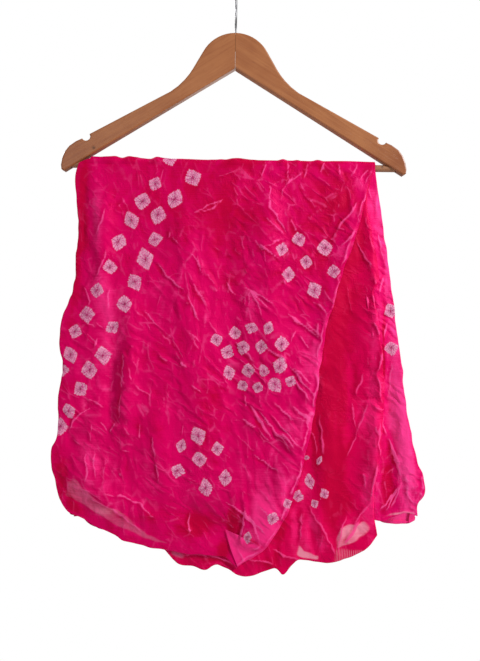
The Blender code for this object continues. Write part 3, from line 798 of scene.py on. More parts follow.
@dataclass
class Relief:
    """All that lifts one layer's surface on one side of the bar.

    Fields:
        folds: The large folds that every layer shares.
        creases: The creases placed one by one.
        crinkles: The patches of small creases.
        crumple_height: How high the crumpled ground stands, in mm.
        crumple_cell: How wide its cells are, in mm.
        inward: The most that the layer may sink, in mm.
        outward: The most that it may rise, in mm.
        seed: Where the ground's noise starts.
        cover: The right edge of the layer over it, beyond which it may rise further.
        soft: Soft folds that this layer has alone.
        swell: How high its broad unevenness is, in mm.
        at_bar: The share of its creases that stands at the bar.
    """

    folds: tuple[Fold, ...]
    creases: tuple[Crease, ...]
    crinkles: tuple[Crinkles, ...]
    crumple_height: float = 0.9
    crumple_cell: float = 26.0
    inward: float = 1.3
    outward: float = 1.3
    seed: int = 1
    cover: tuple[Edge, ...] = ()
    soft: tuple[Fold, ...] = ()
    swell: float = 1.1
    at_bar: float = 0.2

    def ground(self, across: Grid, drop: Grid) -> Grid:
        """Return the crumpled ground, whose crests lean as the crinkles there do.

        Args:
            across: Where the places are across.
            drop: Where they are under the bar.

        Returns:
            The ground's height, in mm.
        """
        total = np.zeros_like(across)
        weight = np.full_like(across, 0.05)
        for number, patch in enumerate(self.crinkles):
            here = reach_of(across, patch.across) * reach_of(drop, patch.drop)
            seed = self.seed + 7 * number
            total += here * crumple(across, drop, patch.lean, self.crumple_cell, seed)
            weight += here
        smooth = 0.35 + 0.65 * ease(0.5 + 1.4 * value_noise(across / 40, drop / 40 + 9, self.seed + 91))
        swell = self.swell * value_noise(across / 34 + 5, drop / 46, self.seed + 90)
        return self.crumple_height * 1.5 * smooth * (total / weight - 0.5) + swell

    def crackle(self, across: Grid, drop: Grid) -> Grid:
        """Return how finely crumpled the cloth is, by how closely its crinkles stand.

        Args:
            across: Where the places are across.
            drop: Where they are under the bar.

        Returns:
            The share, from 0 to 1.
        """
        total = np.zeros_like(across)
        for patch in self.crinkles:
            size = (patch.across[1] - patch.across[0]) * (patch.drop[1] - patch.drop[0])
            here = reach_of(across, patch.across) * reach_of(drop, patch.drop)
            total += here * 250 * patch.count / size
        return np.minimum(total, 1.0)

    def fine(self, across: Grid, drop: Grid) -> tuple[Grid, Grid, Grid]:
        """Return the lift held between the layers beside it, with its worn crests' painted highlight and
        its hollows' painted shade.

        Args:
            across: Where the places are across.
            drop: Where they are under the bar.

        Returns:
            The lift in mm, the crests with painted highlight and the hollows' painted shade.
        """
        small = [crease for patch in self.crinkles for crease in scatter(patch)]
        placed, crest, hollow = creases_at(list(self.creases), across, drop)
        strewn, small_crest, small_hollow = creases_at(small, across, drop)
        lifted = PLACED_SHARE * placed + STREWN_SHARE * strewn + self.ground(across, drop)
        lifted += folds_at(self.soft, across, drop)
        outward = np.full_like(across, self.outward)
        if self.cover:
            covered_to = np.interp(drop, *zip(*self.cover))
            outward += COVER_FREES * ease((across - covered_to - 3) / 12)
        limit = np.where(lifted > 0, outward, self.inward)
        crest = crest + STREWN_CREST_AND_SHADE * small_crest
        hollow = hollow + STREWN_CREST_AND_SHADE * small_hollow
        return limit * np.tanh(lifted / limit), crest, hollow

    def depth(self, layer: int, across: Grid, drop: Grid, lift: Grid) -> Grid:
        """Return how far a layer stands from the bar's middle plane, in a hanging panel.

        Args:
            layer: The layer's place counted out from the bar.
            across: Where the places are across.
            drop: Where they are under the bar.
            lift: How far its creases lift it.

        Returns:
            The depth, in mm.
        """
        opened = ease(drop / OPENING_OUT_DROP)
        at_bar = INNER_LAYER_RADIUS + layer * LAYER_PITCH_AT_BAR + ripple(across)
        low = INNER_LAYER_RADIUS + layer * LAYER_PITCH_LOW
        low = low + BELLY_AT_HEM * np.maximum(drop, 0.0) / HEM_DROP + folds_at(self.folds, across, drop)
        freed = np.where(lift > 0, self.at_bar, SUNK_AT_BAR)
        return at_bar * (1 - opened) + low * opened + lift * (freed + (1 - freed) * opened)


class Motifs:
    """The tied-off dots, set out as the dyer ties them: in rows, rosettes and lattices."""

    def __init__(self, seed: int) -> None:
        """Start the small irregularities at this seed."""
        self.rng = np.random.default_rng(seed)
        self.dots: list[Dot] = []

    def add(self, across: float, drop: float, half: float, wander: float, stretch: float = 1.1) -> None:
        """Tie one dot near this place.

        Args:
            across: Its place across.
            drop: Its place under the bar.
            half: From its middle to a corner.
            wander: How far it may be from the place.
            stretch: About how much taller than wide it is.
        """
        self.dots.append(Dot(
            across + self.rng.uniform(-wander, wander), drop + self.rng.uniform(-wander, wander),
            half * self.rng.uniform(0.87, 1.15), math.radians(self.rng.uniform(-36, 24)),
            stretch * self.rng.uniform(0.86, 1.2), self.rng.uniform(1.0, 2.0),
        ))

    def row(self, stops: tuple, half: float) -> None:
        """Tie a row of dots, one at each stop."""
        for across, drop in stops:
            self.add(across, drop, half, 0.5)

    def crumpled(self, stops: tuple) -> None:
        """Tie dots that lie in a crumpled place, each with its own half and stretch."""
        for across, drop, half, stretch in stops:
            self.add(across, drop, half, 0.3, stretch)

    def rosette(self, across: float, drop: float, radius: float, first: float, half: float) -> None:
        """Tie one dot with six round it, the first of them at this many degrees.

        Args:
            across: The middle dot's place across.
            drop: Its place under the bar.
            radius: How far the six are from it.
            first: The first one's direction, in degrees.
            half: Each dot's half width.
        """
        self.add(across, drop, half, 0.5)
        for petal in range(6):
            angle = math.radians(first + 60 * petal)
            reach = radius * (1 + 0.1 * math.cos(angle - 0.9))
            self.add(across + reach * math.cos(angle), drop + reach * math.sin(angle), half, 2.0)

    def lattice(self, across: float, drop: float, step: tuple, down: tuple, half: float) -> None:
        """Tie four rows of four dots from one corner, by a step along and a step down.

        Args:
            across: The first dot's place across.
            drop: Its place under the bar.
            step: The step along a row, as (across, drop).
            down: The step to the next row, as (across, drop).
            half: Each dot's half width.
        """
        for row in range(4):
            for column in range(4):
                x = across + column * step[0] + row * down[0]
                z = drop + column * step[1] + row * down[1]
                self.add(x, z, half, 2.0)

    def local(self, across: Grid, drop: Grid) -> Grid:
        """Return each place as seen from its nearest dot.

        Args:
            across: Where the places are across.
            drop: Where they are under the bar.

        Returns:
            The place in dot halves along the dot's two axes, and the dot's seed or 0 outside it.
        """
        best = np.full(across.shape, 9.0)
        second = np.full(across.shape, 9.0)
        found = np.zeros((*across.shape, 3))
        for dot in self.dots:
            x, z = across - dot.across, drop - dot.drop
            along_x = (x * math.cos(dot.turn) + z * math.sin(dot.turn)) / dot.half
            along_z = (z * math.cos(dot.turn) - x * math.sin(dot.turn)) / (dot.half * dot.stretch)
            away = np.hypot(along_x, along_z)
            taken = away < best
            second = np.where(taken, best, np.minimum(second, away))
            best = np.where(taken, away, best)
            found[taken, 0] = along_x[taken]
            found[taken, 1] = along_z[taken]
            found[taken, 2] = dot.seed
        found[(best > DOT_REACH) | (second - best < DOT_APART), 2] = 0.0
        return found


def front_outer_motifs() -> Motifs:
    """Return the dots on the front of the outer stretch.

    Returns:
        The dots.
    """
    motifs = Motifs(5)
    for stops, half in (
        (LEFT_BORDER_OUTER, 9.6), (LEFT_BORDER_INNER, 10.0), (UPPER_ROSETTE, 9.0),
        (LOWER_ROSETTE, 9.0), (CLUSTER, 8.4),
    ):
        motifs.row(stops, half)
    motifs.crumpled(((55, 446, 7.6, 1.0), (24, 471, 5.4, 1.5), (74, 428, 6.0, 1.3)))
    return motifs


def front_middle_motifs() -> Motifs:
    """Return the dots that show on the middle stretch.

    Returns:
        The dots.
    """
    motifs = Motifs(6)
    motifs.crumpled((
        (102, 401, 6.6, 1.4), (120, 416, 5.6, 1.35), (87, 420, 7.2, 1.2), (108, 429, 5.4, 1.2),
        (97, 371, 4.4, 1.0), (114, 375, 3.4, 2.0),
    ))
    return motifs


def front_inner_motifs() -> Motifs:
    """Return the dots on the strip at the right.

    Returns:
        The dots.
    """
    motifs = Motifs(7)
    motifs.row(((202, 183), (205, 231)), 8.4)
    return motifs


def back_motifs() -> Motifs:
    """Return the dots of the back, laid out like those of the front.

    Returns:
        The dots.
    """
    motifs = Motifs(8)
    motifs.row(BACK_BORDER_OUTER, 9.6)
    motifs.row(BACK_BORDER_INNER, 10.0)
    for place in ((-96, 120, 33, -80), (40, 372, 31, -90), (-150, 330, 31, -70)):
        motifs.rosette(*place, 9.0)
    motifs.lattice(-72, 216, (22, 5), (-9, 20), 8.6)
    motifs.row(((-60, 446), (-28, 466), (-92, 440), (120, 420), (146, 396)), 8.6)
    return motifs


def back_strip_motifs() -> Motifs:
    """Return the dots on the back of the strip.

    Returns:
        The dots.
    """
    motifs = Motifs(9)
    motifs.row(((203, 150), (209, 190), (205, 240), (214, 280), (222, 330)), 8.0)
    return motifs


@dataclass
class Panel:
    """One side of a stretch: its outline, its relief, its dots, its painted light and shade, and its sheer
    and striped bands.

    Fields:
        side: The front or the back.
        fall: Its outline.
        rows: How many rows of faces it has.
        relief: Its folds and creases.
        motifs: Its dots.
        painted_lights: Its patches of painted light, and of painted shade below zero.
        bands: The bands where it is one thickness, or where its hem is many.
        stripes: The band of its end hem, as (across from, across to, drop from).
    """

    side: Side
    fall: Fall
    rows: int
    relief: Relief
    motifs: Motifs
    painted_lights: tuple[PaintedLight, ...] = ()
    bands: tuple[Band, ...] = ()
    stripes: tuple[float, float, float] | None = None

    def tint(self, across: Grid, drop: Grid) -> Grid:
        """Return how sheer the cloth is, how much painted light it has (painted shade below zero), and how
        striped it is at each place.

        Args:
            across: Where the places are across.
            drop: Where they are under the bar.

        Returns:
            The three shares of each place.
        """
        found = np.zeros((*across.shape, 3))
        # Painted light from the patches and the bands; below zero it is painted shade.
        for painted_light in self.painted_lights:
            reach = ((across - painted_light.across) / painted_light.wide) ** 2 + ((drop - painted_light.drop) / painted_light.tall) ** 2
            found[..., 1] += painted_light.amount * np.exp(-reach)
        ragged = 2.5 * value_noise(across / 9, drop / 9, self.relief.seed + 60)
        for band in self.bands:
            upper = np.interp(across, *zip(*band.upper)) + ragged
            lower = np.interp(across, *zip(*band.lower)) + 0.4 * ragged
            low_end, high_end = band.upper[0][0], band.upper[-1][0]
            inside = ease((across - low_end + ragged) / 6) * ease((high_end - across + ragged) / 6)
            inside = inside * ease((drop - upper) / 4) * ease((lower - drop) / 3)
            found[..., 0] = np.maximum(found[..., 0], band.sheer * inside)
            found[..., 1] += band.painted_light * inside
        if self.stripes:
            start, end, top = self.stripes
            inside = ease((across - start) / 4) * ease((end - across) / 4) * ease((drop - top) / 2)
            found[..., 2] = inside
        return found

    def looks(self, across: Grid, drop: Grid, crest: Grid, hollow: Grid) -> dict[str, Grid]:
        """Return each place's dot, tint and creases, as the silk's material reads them.

        Args:
            across: Where the places are across.
            drop: Where they are under the bar.
            crest: How much of a worn crest with painted highlight each is.
            hollow: How much painted shade of a hollow each has.

        Returns:
            The grids by name.
        """
        return {
            "dots": self.motifs.local(across, drop),
            "tint": self.tint(across, drop),
            "crest": np.stack([crest, hollow, self.relief.crackle(across, drop)], axis=-1),
        }


@dataclass
class Stretch:
    """One stretch of the cloth, from its front hem over the bar to its back hem.

    Fields:
        name: The piece's name.
        node: The solid that it stands for.
        layer: Its place counted out from the bar.
        columns: How many columns of faces it has.
        crowd: How strongly the columns crowd to its right edge, 0 for not at all.
        arm_relief: How far its arch stops short of its left edge, for the arm.
        front: Its front panel.
        back: Its back panel.
        flat: The cut's width and length, in metres. Not used.
        area: The cut's area, in square metres. Not used.
        edge_roll: The radius of its turned-under side edges, in mm.
        hem_turn: How deep the front hem is turned, in mm.
        bar_rows: How many rows of faces it has over the bar.
        lip_steps: How many lines round a rolled edge.
    """

    name: str
    node: str
    layer: int
    columns: int
    crowd: float
    arm_relief: float
    front: Panel
    back: Panel
    flat: tuple[float, float]
    area: float
    edge_roll: float = 1.2
    hem_turn: float = 3.0
    bar_rows: int = 14
    lip_steps: int = 5

    def shares(self) -> Grid:
        """Return the columns' shares across."""
        even = np.linspace(0.0, 1.0, self.columns + 1)
        return even + self.crowd * even * (1 - even)

    def panel_rows(self, panel: Panel) -> tuple[dict[str, Grid], Grid]:
        """Return a panel's grids from the bar down, and how far each row has opened out.

        Args:
            panel: The panel.

        Returns:
            The grids by name, and a share from 0 to 1 for each row.
        """
        shares = np.linspace(0.0, 1.0, panel.rows + 1)
        across, drop = fall_grid(panel.fall, self.shares(), shares)
        lift, crest, hollow = panel.relief.fine(across, drop)
        opened = ease(drop / OPENING_OUT_DROP)
        moved = opened * PLACE_WANDER
        place_x = across + moved * value_noise(across / 11, drop / 13, panel.relief.seed + 70)
        place_z = drop + moved * value_noise(across / 12, drop / 11, panel.relief.seed + 71)
        depth = panel.side.value * panel.relief.depth(self.layer, across, drop, lift)
        layer = np.full_like(across, self.layer)
        grids = {
            "points": np.stack([place_x, depth, BAR_Z - place_z], axis=-1),
            "cut": np.stack([across, panel.side.value * drop, layer], axis=-1),
            **panel.looks(across, drop, crest, hollow),
        }
        return grids, opened[:, :1]

    def arch_rows(self) -> dict[str, Grid]:
        """Return the grids of the rows over the bar.

        Returns:
            The grids by name.
        """
        radius = INNER_LAYER_RADIUS + self.layer * LAYER_PITCH_AT_BAR
        left, right = self.front.fall.left[0].across, self.front.fall.right[0].across
        rows = []
        for step in range(1, self.bar_rows):
            turn = math.pi * step / self.bar_rows
            relieved = float(ease(np.array(2 - abs(4 * step / self.bar_rows - 2))))
            start = left + self.arm_relief * relieved
            across = start + (right - start) * self.shares()
            travelled = radius * turn
            panel = self.front if step <= self.bar_rows / 2 else self.back
            beyond = travelled if panel is self.front else math.pi * radius - travelled
            drop = np.full_like(across, -beyond)
            passed = ease(np.array(2 * step / self.bar_rows - 0.5))
            ahead = self.front.relief.fine(across, np.full_like(across, -travelled))
            after = self.back.relief.fine(across, np.full_like(across, travelled - math.pi * radius))
            lift, crest, hollow = (
                (1 - passed) * one + passed * other for one, other in zip(ahead, after)
            )
            level = 0 * across
            bumps = value_noise(across / 9, level, 81) + value_noise(across / 23, level, 82)
            lift = np.maximum(lift, 0) + BAR_BUMP_HEIGHT * np.maximum(bumps, 0)
            reach = radius + ripple(across) + lift * panel.relief.at_bar
            depth, height = -reach * math.cos(turn), reach * math.sin(turn)
            layer = np.full_like(across, self.layer)
            rows.append({
                "points": np.stack([across, depth, BAR_Z + height], axis=-1),
                "cut": np.stack([across, np.full_like(across, travelled), layer], axis=-1),
                **panel.looks(across, drop, crest, hollow),
            })
        return {key: np.stack([row[key] for row in rows]) for key in rows[0]}

    def lip(self, line: Grid, outward: Grid, inward: Grid, radius: Grid, turned: float) -> list[Grid]:
        """Return the lines of an edge that is rolled under.

        Args:
            line: The edge's points.
            outward: The way off the cloth at each of them, in its surface.
            inward: The way to the bar's middle plane at each of them.
            radius: The roll's radius at each of them.
            turned: How far the turned part reaches back, in mm.

        Returns:
            The lines of points, from beside the edge to the end of the turned part.
        """
        lines = []
        for step in range(1, self.lip_steps + 1):
            angle = math.pi * step / self.lip_steps
            rolled = outward * radius * math.sin(angle)
            lines.append(line + rolled + inward * radius * (1 - math.cos(angle)))
        for reach in (0.4, 1.0):
            lines.append(line - outward * turned * reach + inward * 2 * radius)
        return lines

    def build(self, finish: bpy.types.Material) -> bpy.types.Object:
        """Build the stretch and dress it.

        Args:
            finish: The silk.

        Returns:
            The new piece.
        """
        front, front_open = self.panel_rows(self.front)
        back, back_open = self.panel_rows(self.back)
        arch = self.arch_rows()
        back["cut"][..., 1] += math.pi * (INNER_LAYER_RADIUS + self.layer * LAYER_PITCH_AT_BAR)
        parts = {key: np.concatenate([front[key][::-1], arch[key], back[key]]) for key in front}
        opened = np.concatenate([front_open[::-1], np.zeros((self.bar_rows - 1, 1)), back_open])
        angle = np.linspace(0, math.pi, self.bar_rows + 1)[1:-1]
        inward = np.concatenate([
            np.tile([0.0, 1.0, 0.0], (len(front_open), 1)),
            np.stack([0 * angle, np.cos(angle), -np.sin(angle)], axis=-1),
            np.tile([0.0, -1.0, 0.0], (len(back_open), 1)),
        ])
        radius = self.edge_roll * (0.22 + 0.78 * opened)
        for at, next_to, first in ((0, 1, True), (-1, -2, False)):
            edge = parts["points"][:, at]
            off = way_off(edge, parts["points"][:, next_to])
            lines = self.lip(edge, off, inward, radius, SIDE_TURN)
            parts = self.grown(parts, lines, at, first, axis=1)
        for at, next_to, first, way in ((0, 1, True, 1.0), (-1, -2, False, -1.0)):
            edge = parts["points"][at]
            off = way_off(edge, parts["points"][next_to])
            under = np.tile([0.0, way, 0.0], (len(off), 1))
            turned = self.hem_turn if first else BACK_HEM_TURN
            lines = self.lip(edge, off, under, np.full((len(off), 1), HEM_ROLL), turned)
            parts = self.grown(parts, lines, at, first, axis=0)
        return self.dress(parts, finish)

    def grown(self, parts: dict, lines: list[Grid], at: int, first: bool, axis: int) -> dict:
        """Return the grids with an edge's rolled lines added at their start or end.

        Args:
            parts: The grids by name.
            lines: The rolled lines, from beside the edge.
            at: The edge's number along the axis.
            first: Whether the edge is at the start.
            axis: 0 for a hem, 1 for a side edge.

        Returns:
            The larger grids by name.
        """
        made = {}
        for key, grid in parts.items():
            added = [np.take(grid, [at], axis=axis)] * len(lines)
            if key == "points":
                added = [np.expand_dims(line, axis) for line in lines]
            made[key] = np.concatenate([*added[::-1], grid] if first else [grid, *added], axis=axis)
        return made

    def dress(self, parts: dict, finish: bpy.types.Material) -> bpy.types.Object:
        """Args:
            parts: The grids by name.
            finish: The silk.

        Returns:
            The new piece.
        """
        piece = grid_piece(self.name, parts, finish)
        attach(piece, BODY)
        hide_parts(self.node)
        log_piece(piece)
        return piece


def way_off(edge: Grid, next_to: Grid) -> Grid:
    """Return the way off the cloth at each point of an edge, from the line next to it.

    Args:
        edge: The edge's points.
        next_to: The points of the line next to it.

    Returns:
        One direction for each point.
    """
    off = edge - next_to
    off[:, 1] = 0.0
    return off / np.maximum(np.linalg.norm(off, axis=1, keepdims=True), 1e-6)


def log_piece(piece: bpy.types.Object) -> None:
    """Log a piece's faces and its area.

    Args:
        piece: The piece.
    """
    faces = piece.data.polygons
    area = sum(face.area for face in faces)
    LOG.info("%s: %d faces, %.4f square metres", piece.name, len(faces), area)


def grid_piece(name: str, parts: dict, finish: bpy.types.Material) -> bpy.types.Object:
    """Return a smooth sheet of quads over a grid of points in mm, with its other grids as attributes.

    Args:
        name: The piece's name.
        parts: The grids by name.
        finish: The piece's material.

    Returns:
        The new piece.
    """
    points = parts["points"]
    rows, columns = points.shape[:2]
    index = np.arange(rows * columns).reshape(rows, columns)
    marked = parts["crest"][..., 0] + parts["crest"][..., 1]
    ends = [index[:-1, :-1], index[:-1, 1:], index[1:, 1:], index[1:, :-1]]
    falling = marked[:-1, 1:] + marked[1:, :-1] > marked[:-1, :-1] + marked[1:, 1:]
    # Each face is parted along the crease that crosses it.
    rising_quads, falling_quads = np.stack(ends, axis=-1), np.stack(ends[1:] + ends[:1], axis=-1)
    quads = np.where(falling[..., None], falling_quads, rising_quads).reshape(-1, 4)
    mesh = bpy.data.meshes.new(name)
    mesh.from_pydata((points.reshape(-1, 3) * MM).tolist(), [], quads.tolist())
    for key, scale in (("cut", MM), ("dots", 1.0), ("tint", 1.0), ("crest", 1.0)):
        values = (parts[key] * scale).astype(np.float32).ravel()
        mesh.attributes.new(key, "FLOAT_VECTOR", "POINT").data.foreach_set("vector", values)
    mesh.shade_smooth()
    mesh.materials.append(finish)
    piece = bpy.data.objects.new(name, mesh)
    bpy.context.scene.collection.objects.link(piece)
    return piece


def on_node(operation: str, turned: bool = False) -> Callable[..., "Signal"]:
    """Return a method that gives one Math node's result.

    Args:
        operation: The node's operation.
        turned: Whether the other value comes first.

    Returns:
        The method.
    """
    def method(self: "Signal", *others: "Signal | float") -> "Signal":
        """Return the node's result.

        Args:
            others: The node's other values.

        Returns:
            The result.
        """
        values = (*others, self) if turned else (self, *others)
        made = self.graph.add("ShaderNodeMath", {"operation": operation}, dict(enumerate(values)))
        return Signal(self.graph, made.outputs[0])

    return method


class Signal:
    """One value socket, so that shader maths reads as Python maths."""

    __add__ = on_node("ADD")
    __radd__ = on_node("ADD", turned=True)
    __sub__ = on_node("SUBTRACT")
    __rsub__ = on_node("SUBTRACT", turned=True)
    __mul__ = on_node("MULTIPLY")
    __truediv__ = on_node("DIVIDE")
    __pow__ = on_node("POWER")
    __abs__ = on_node("ABSOLUTE")
    wave = on_node("SINE")
    at_least = on_node("MAXIMUM")

    def __init__(self, graph: "Graph", socket: bpy.types.NodeSocket) -> None:
        """Wrap a socket of this graph."""
        self.graph = graph
        self.socket = socket

    def step(self, low: float, high: float) -> "Signal":
        """Return a smooth rise from 0 at low to 1 at high.

        Args:
            low: Where it starts to rise.
            high: Where it ends.

        Returns:
            The step.
        """
        made = self.graph.add(
            "ShaderNodeMapRange", {"interpolation_type": "SMOOTHSTEP", "clamp": True},
            {0: self, 1: low, 2: high, 3: 0.0, 4: 1.0},
        )
        return Signal(self.graph, made.outputs[0])


Colour = tuple[float, float, float]


class Graph:
    """The nodes of one material."""

    def __init__(self, name: str) -> None:
        """Start a material with only its output.

        Args:
            name: The material's name.
        """
        self.material = bpy.data.materials.new(name)
        self.material.use_nodes = True
        self.tree = self.material.node_tree
        self.tree.nodes.clear()
        self.output = self.add("ShaderNodeOutputMaterial", {}, {})

    def add(self, kind: str, settings: dict[str, Any], inputs: dict[Any, Any]) -> bpy.types.Node:
        """Add one node.

        Args:
            kind: The node's type.
            settings: Its settings, set first. "stops" are a ramp's (place, colour) pairs.
            inputs: Its sockets' values or links, by name or number.

        Returns:
            The node.
        """
        made = self.tree.nodes.new(kind)
        for key, value in settings.items():
            if key == "stops":
                self.set_stops(made, value)
            else:
                setattr(made, key, value)
        for key, value in inputs.items():
            socket = made.inputs[key]
            if isinstance(value, Signal):
                self.tree.links.new(value.socket, socket)
            elif isinstance(value, bpy.types.NodeSocket):
                self.tree.links.new(value, socket)
            elif isinstance(value, tuple) and len(value) == 3 and socket.type == "RGBA":
                socket.default_value = (*value, 1.0)
            else:
                socket.default_value = value
        return made

    def set_stops(self, ramp: bpy.types.Node, stops: tuple) -> None:
        """Set a ramp's stops.

        Args:
            ramp: The ramp's node.
            stops: Its (place, colour) pairs.
        """
        elements = ramp.color_ramp.elements
        while len(elements) < len(stops):
            elements.new(0.5)
        for element, (place, colour) in zip(elements, stops):
            element.position = place
            element.color = (*colour, 1.0)

    def attribute(self, name: str) -> bpy.types.NodeSocket:
        """Return an attribute's vector."""
        return self.add("ShaderNodeAttribute", {"attribute_name": name}, {}).outputs["Vector"]

    def parts_of(self, vector: bpy.types.NodeSocket) -> tuple[Signal, Signal, Signal]:
        """Return a vector's three numbers."""
        split = self.add("ShaderNodeSeparateXYZ", {}, {0: vector})
        return tuple(Signal(self, socket) for socket in split.outputs)

    def vector(self, operation: str, *values: Any) -> bpy.types.NodeSocket:
        """Return a Vector Math node's vector."""
        made = self.add("ShaderNodeVectorMath", {"operation": operation}, dict(enumerate(values)))
        return made.outputs[0]

    def scaled(self, place: Any, factors: tuple) -> bpy.types.NodeSocket:
        """Return a place scaled by a factor along each axis."""
        return self.vector("MULTIPLY", place, factors)

    def turned(self, place: Any, axis: int, degrees: float) -> bpy.types.NodeSocket:
        """Return a place turned about an axis."""
        rotation = tuple(math.radians(degrees) if axis == number else 0.0 for number in range(3))
        return self.add("ShaderNodeMapping", {}, {"Vector": place, "Rotation": rotation}).outputs[0]

    def place(self) -> bpy.types.NodeSocket:
        """Return the place on the object."""
        return self.add("ShaderNodeTexCoord", {}, {}).outputs["Object"]

    def noise(self, place: Any, scale: float, detail: float, distortion: float = 0.0) -> Signal:
        """Return a noise at this place.

        Args:
            place: The place.
            scale: How many cells there are in one unit.
            detail: How many finer layers it has.
            distortion: How far it is warped.

        Returns:
            The noise, about 0.5 in the middle.
        """
        made = self.add("ShaderNodeTexNoise", {}, {
            "Vector": place, "Scale": scale, "Detail": detail, "Roughness": 0.55, "Distortion": distortion,
        })
        return Signal(self, made.outputs["Fac"])

    def facets(self, place: Any, lean: float, scale: float) -> Signal:
        """Return how far each place is from the edge of its facet, which is long and leans so.

        Args:
            place: The place.
            lean: How far the facets lean, in degrees.
            scale: How many there are in one unit.

        Returns:
            The distance from the edge.
        """
        narrowed = self.scaled(self.turned(place, 2, lean), (0.42, 1.3, 1.0))
        made = self.add(
            "ShaderNodeTexVoronoi", {"feature": "DISTANCE_TO_EDGE"}, {"Vector": narrowed, "Scale": scale}
        )
        return Signal(self, made.outputs["Distance"])

    def mix(self, share: Any, first: Any, second: Any) -> bpy.types.NodeSocket:
        """Return a colour between two colours."""
        settings = {"data_type": "RGBA", "clamp_factor": True}
        return self.add("ShaderNodeMix", settings, {0: share, 6: first, 7: second}).outputs[2]

    def ramp(self, value: Signal, stops: tuple) -> bpy.types.NodeSocket:
        """Return a ramp's colour."""
        return self.add("ShaderNodeValToRGB", {"stops": stops}, {0: value}).outputs["Color"]

    def bump(self, height: Signal) -> bpy.types.NodeSocket:
        """Return the normal of a relief whose height is in millimetres."""
        made = self.add("ShaderNodeBump", {}, {"Strength": 1.0, "Distance": MM, "Height": height})
        return made.outputs["Normal"]

    def finish(self, sockets: dict[str, Any]) -> bpy.types.Material:
        """Wire a Principled shader with these sockets to the output and return the material.

        Args:
            sockets: The shader's values or links, by name.

        Returns:
            The material.
        """
        shader = self.add("ShaderNodeBsdfPrincipled", {}, sockets)
        self.tree.links.new(shader.outputs[0], self.output.inputs["Surface"])
        return self.material


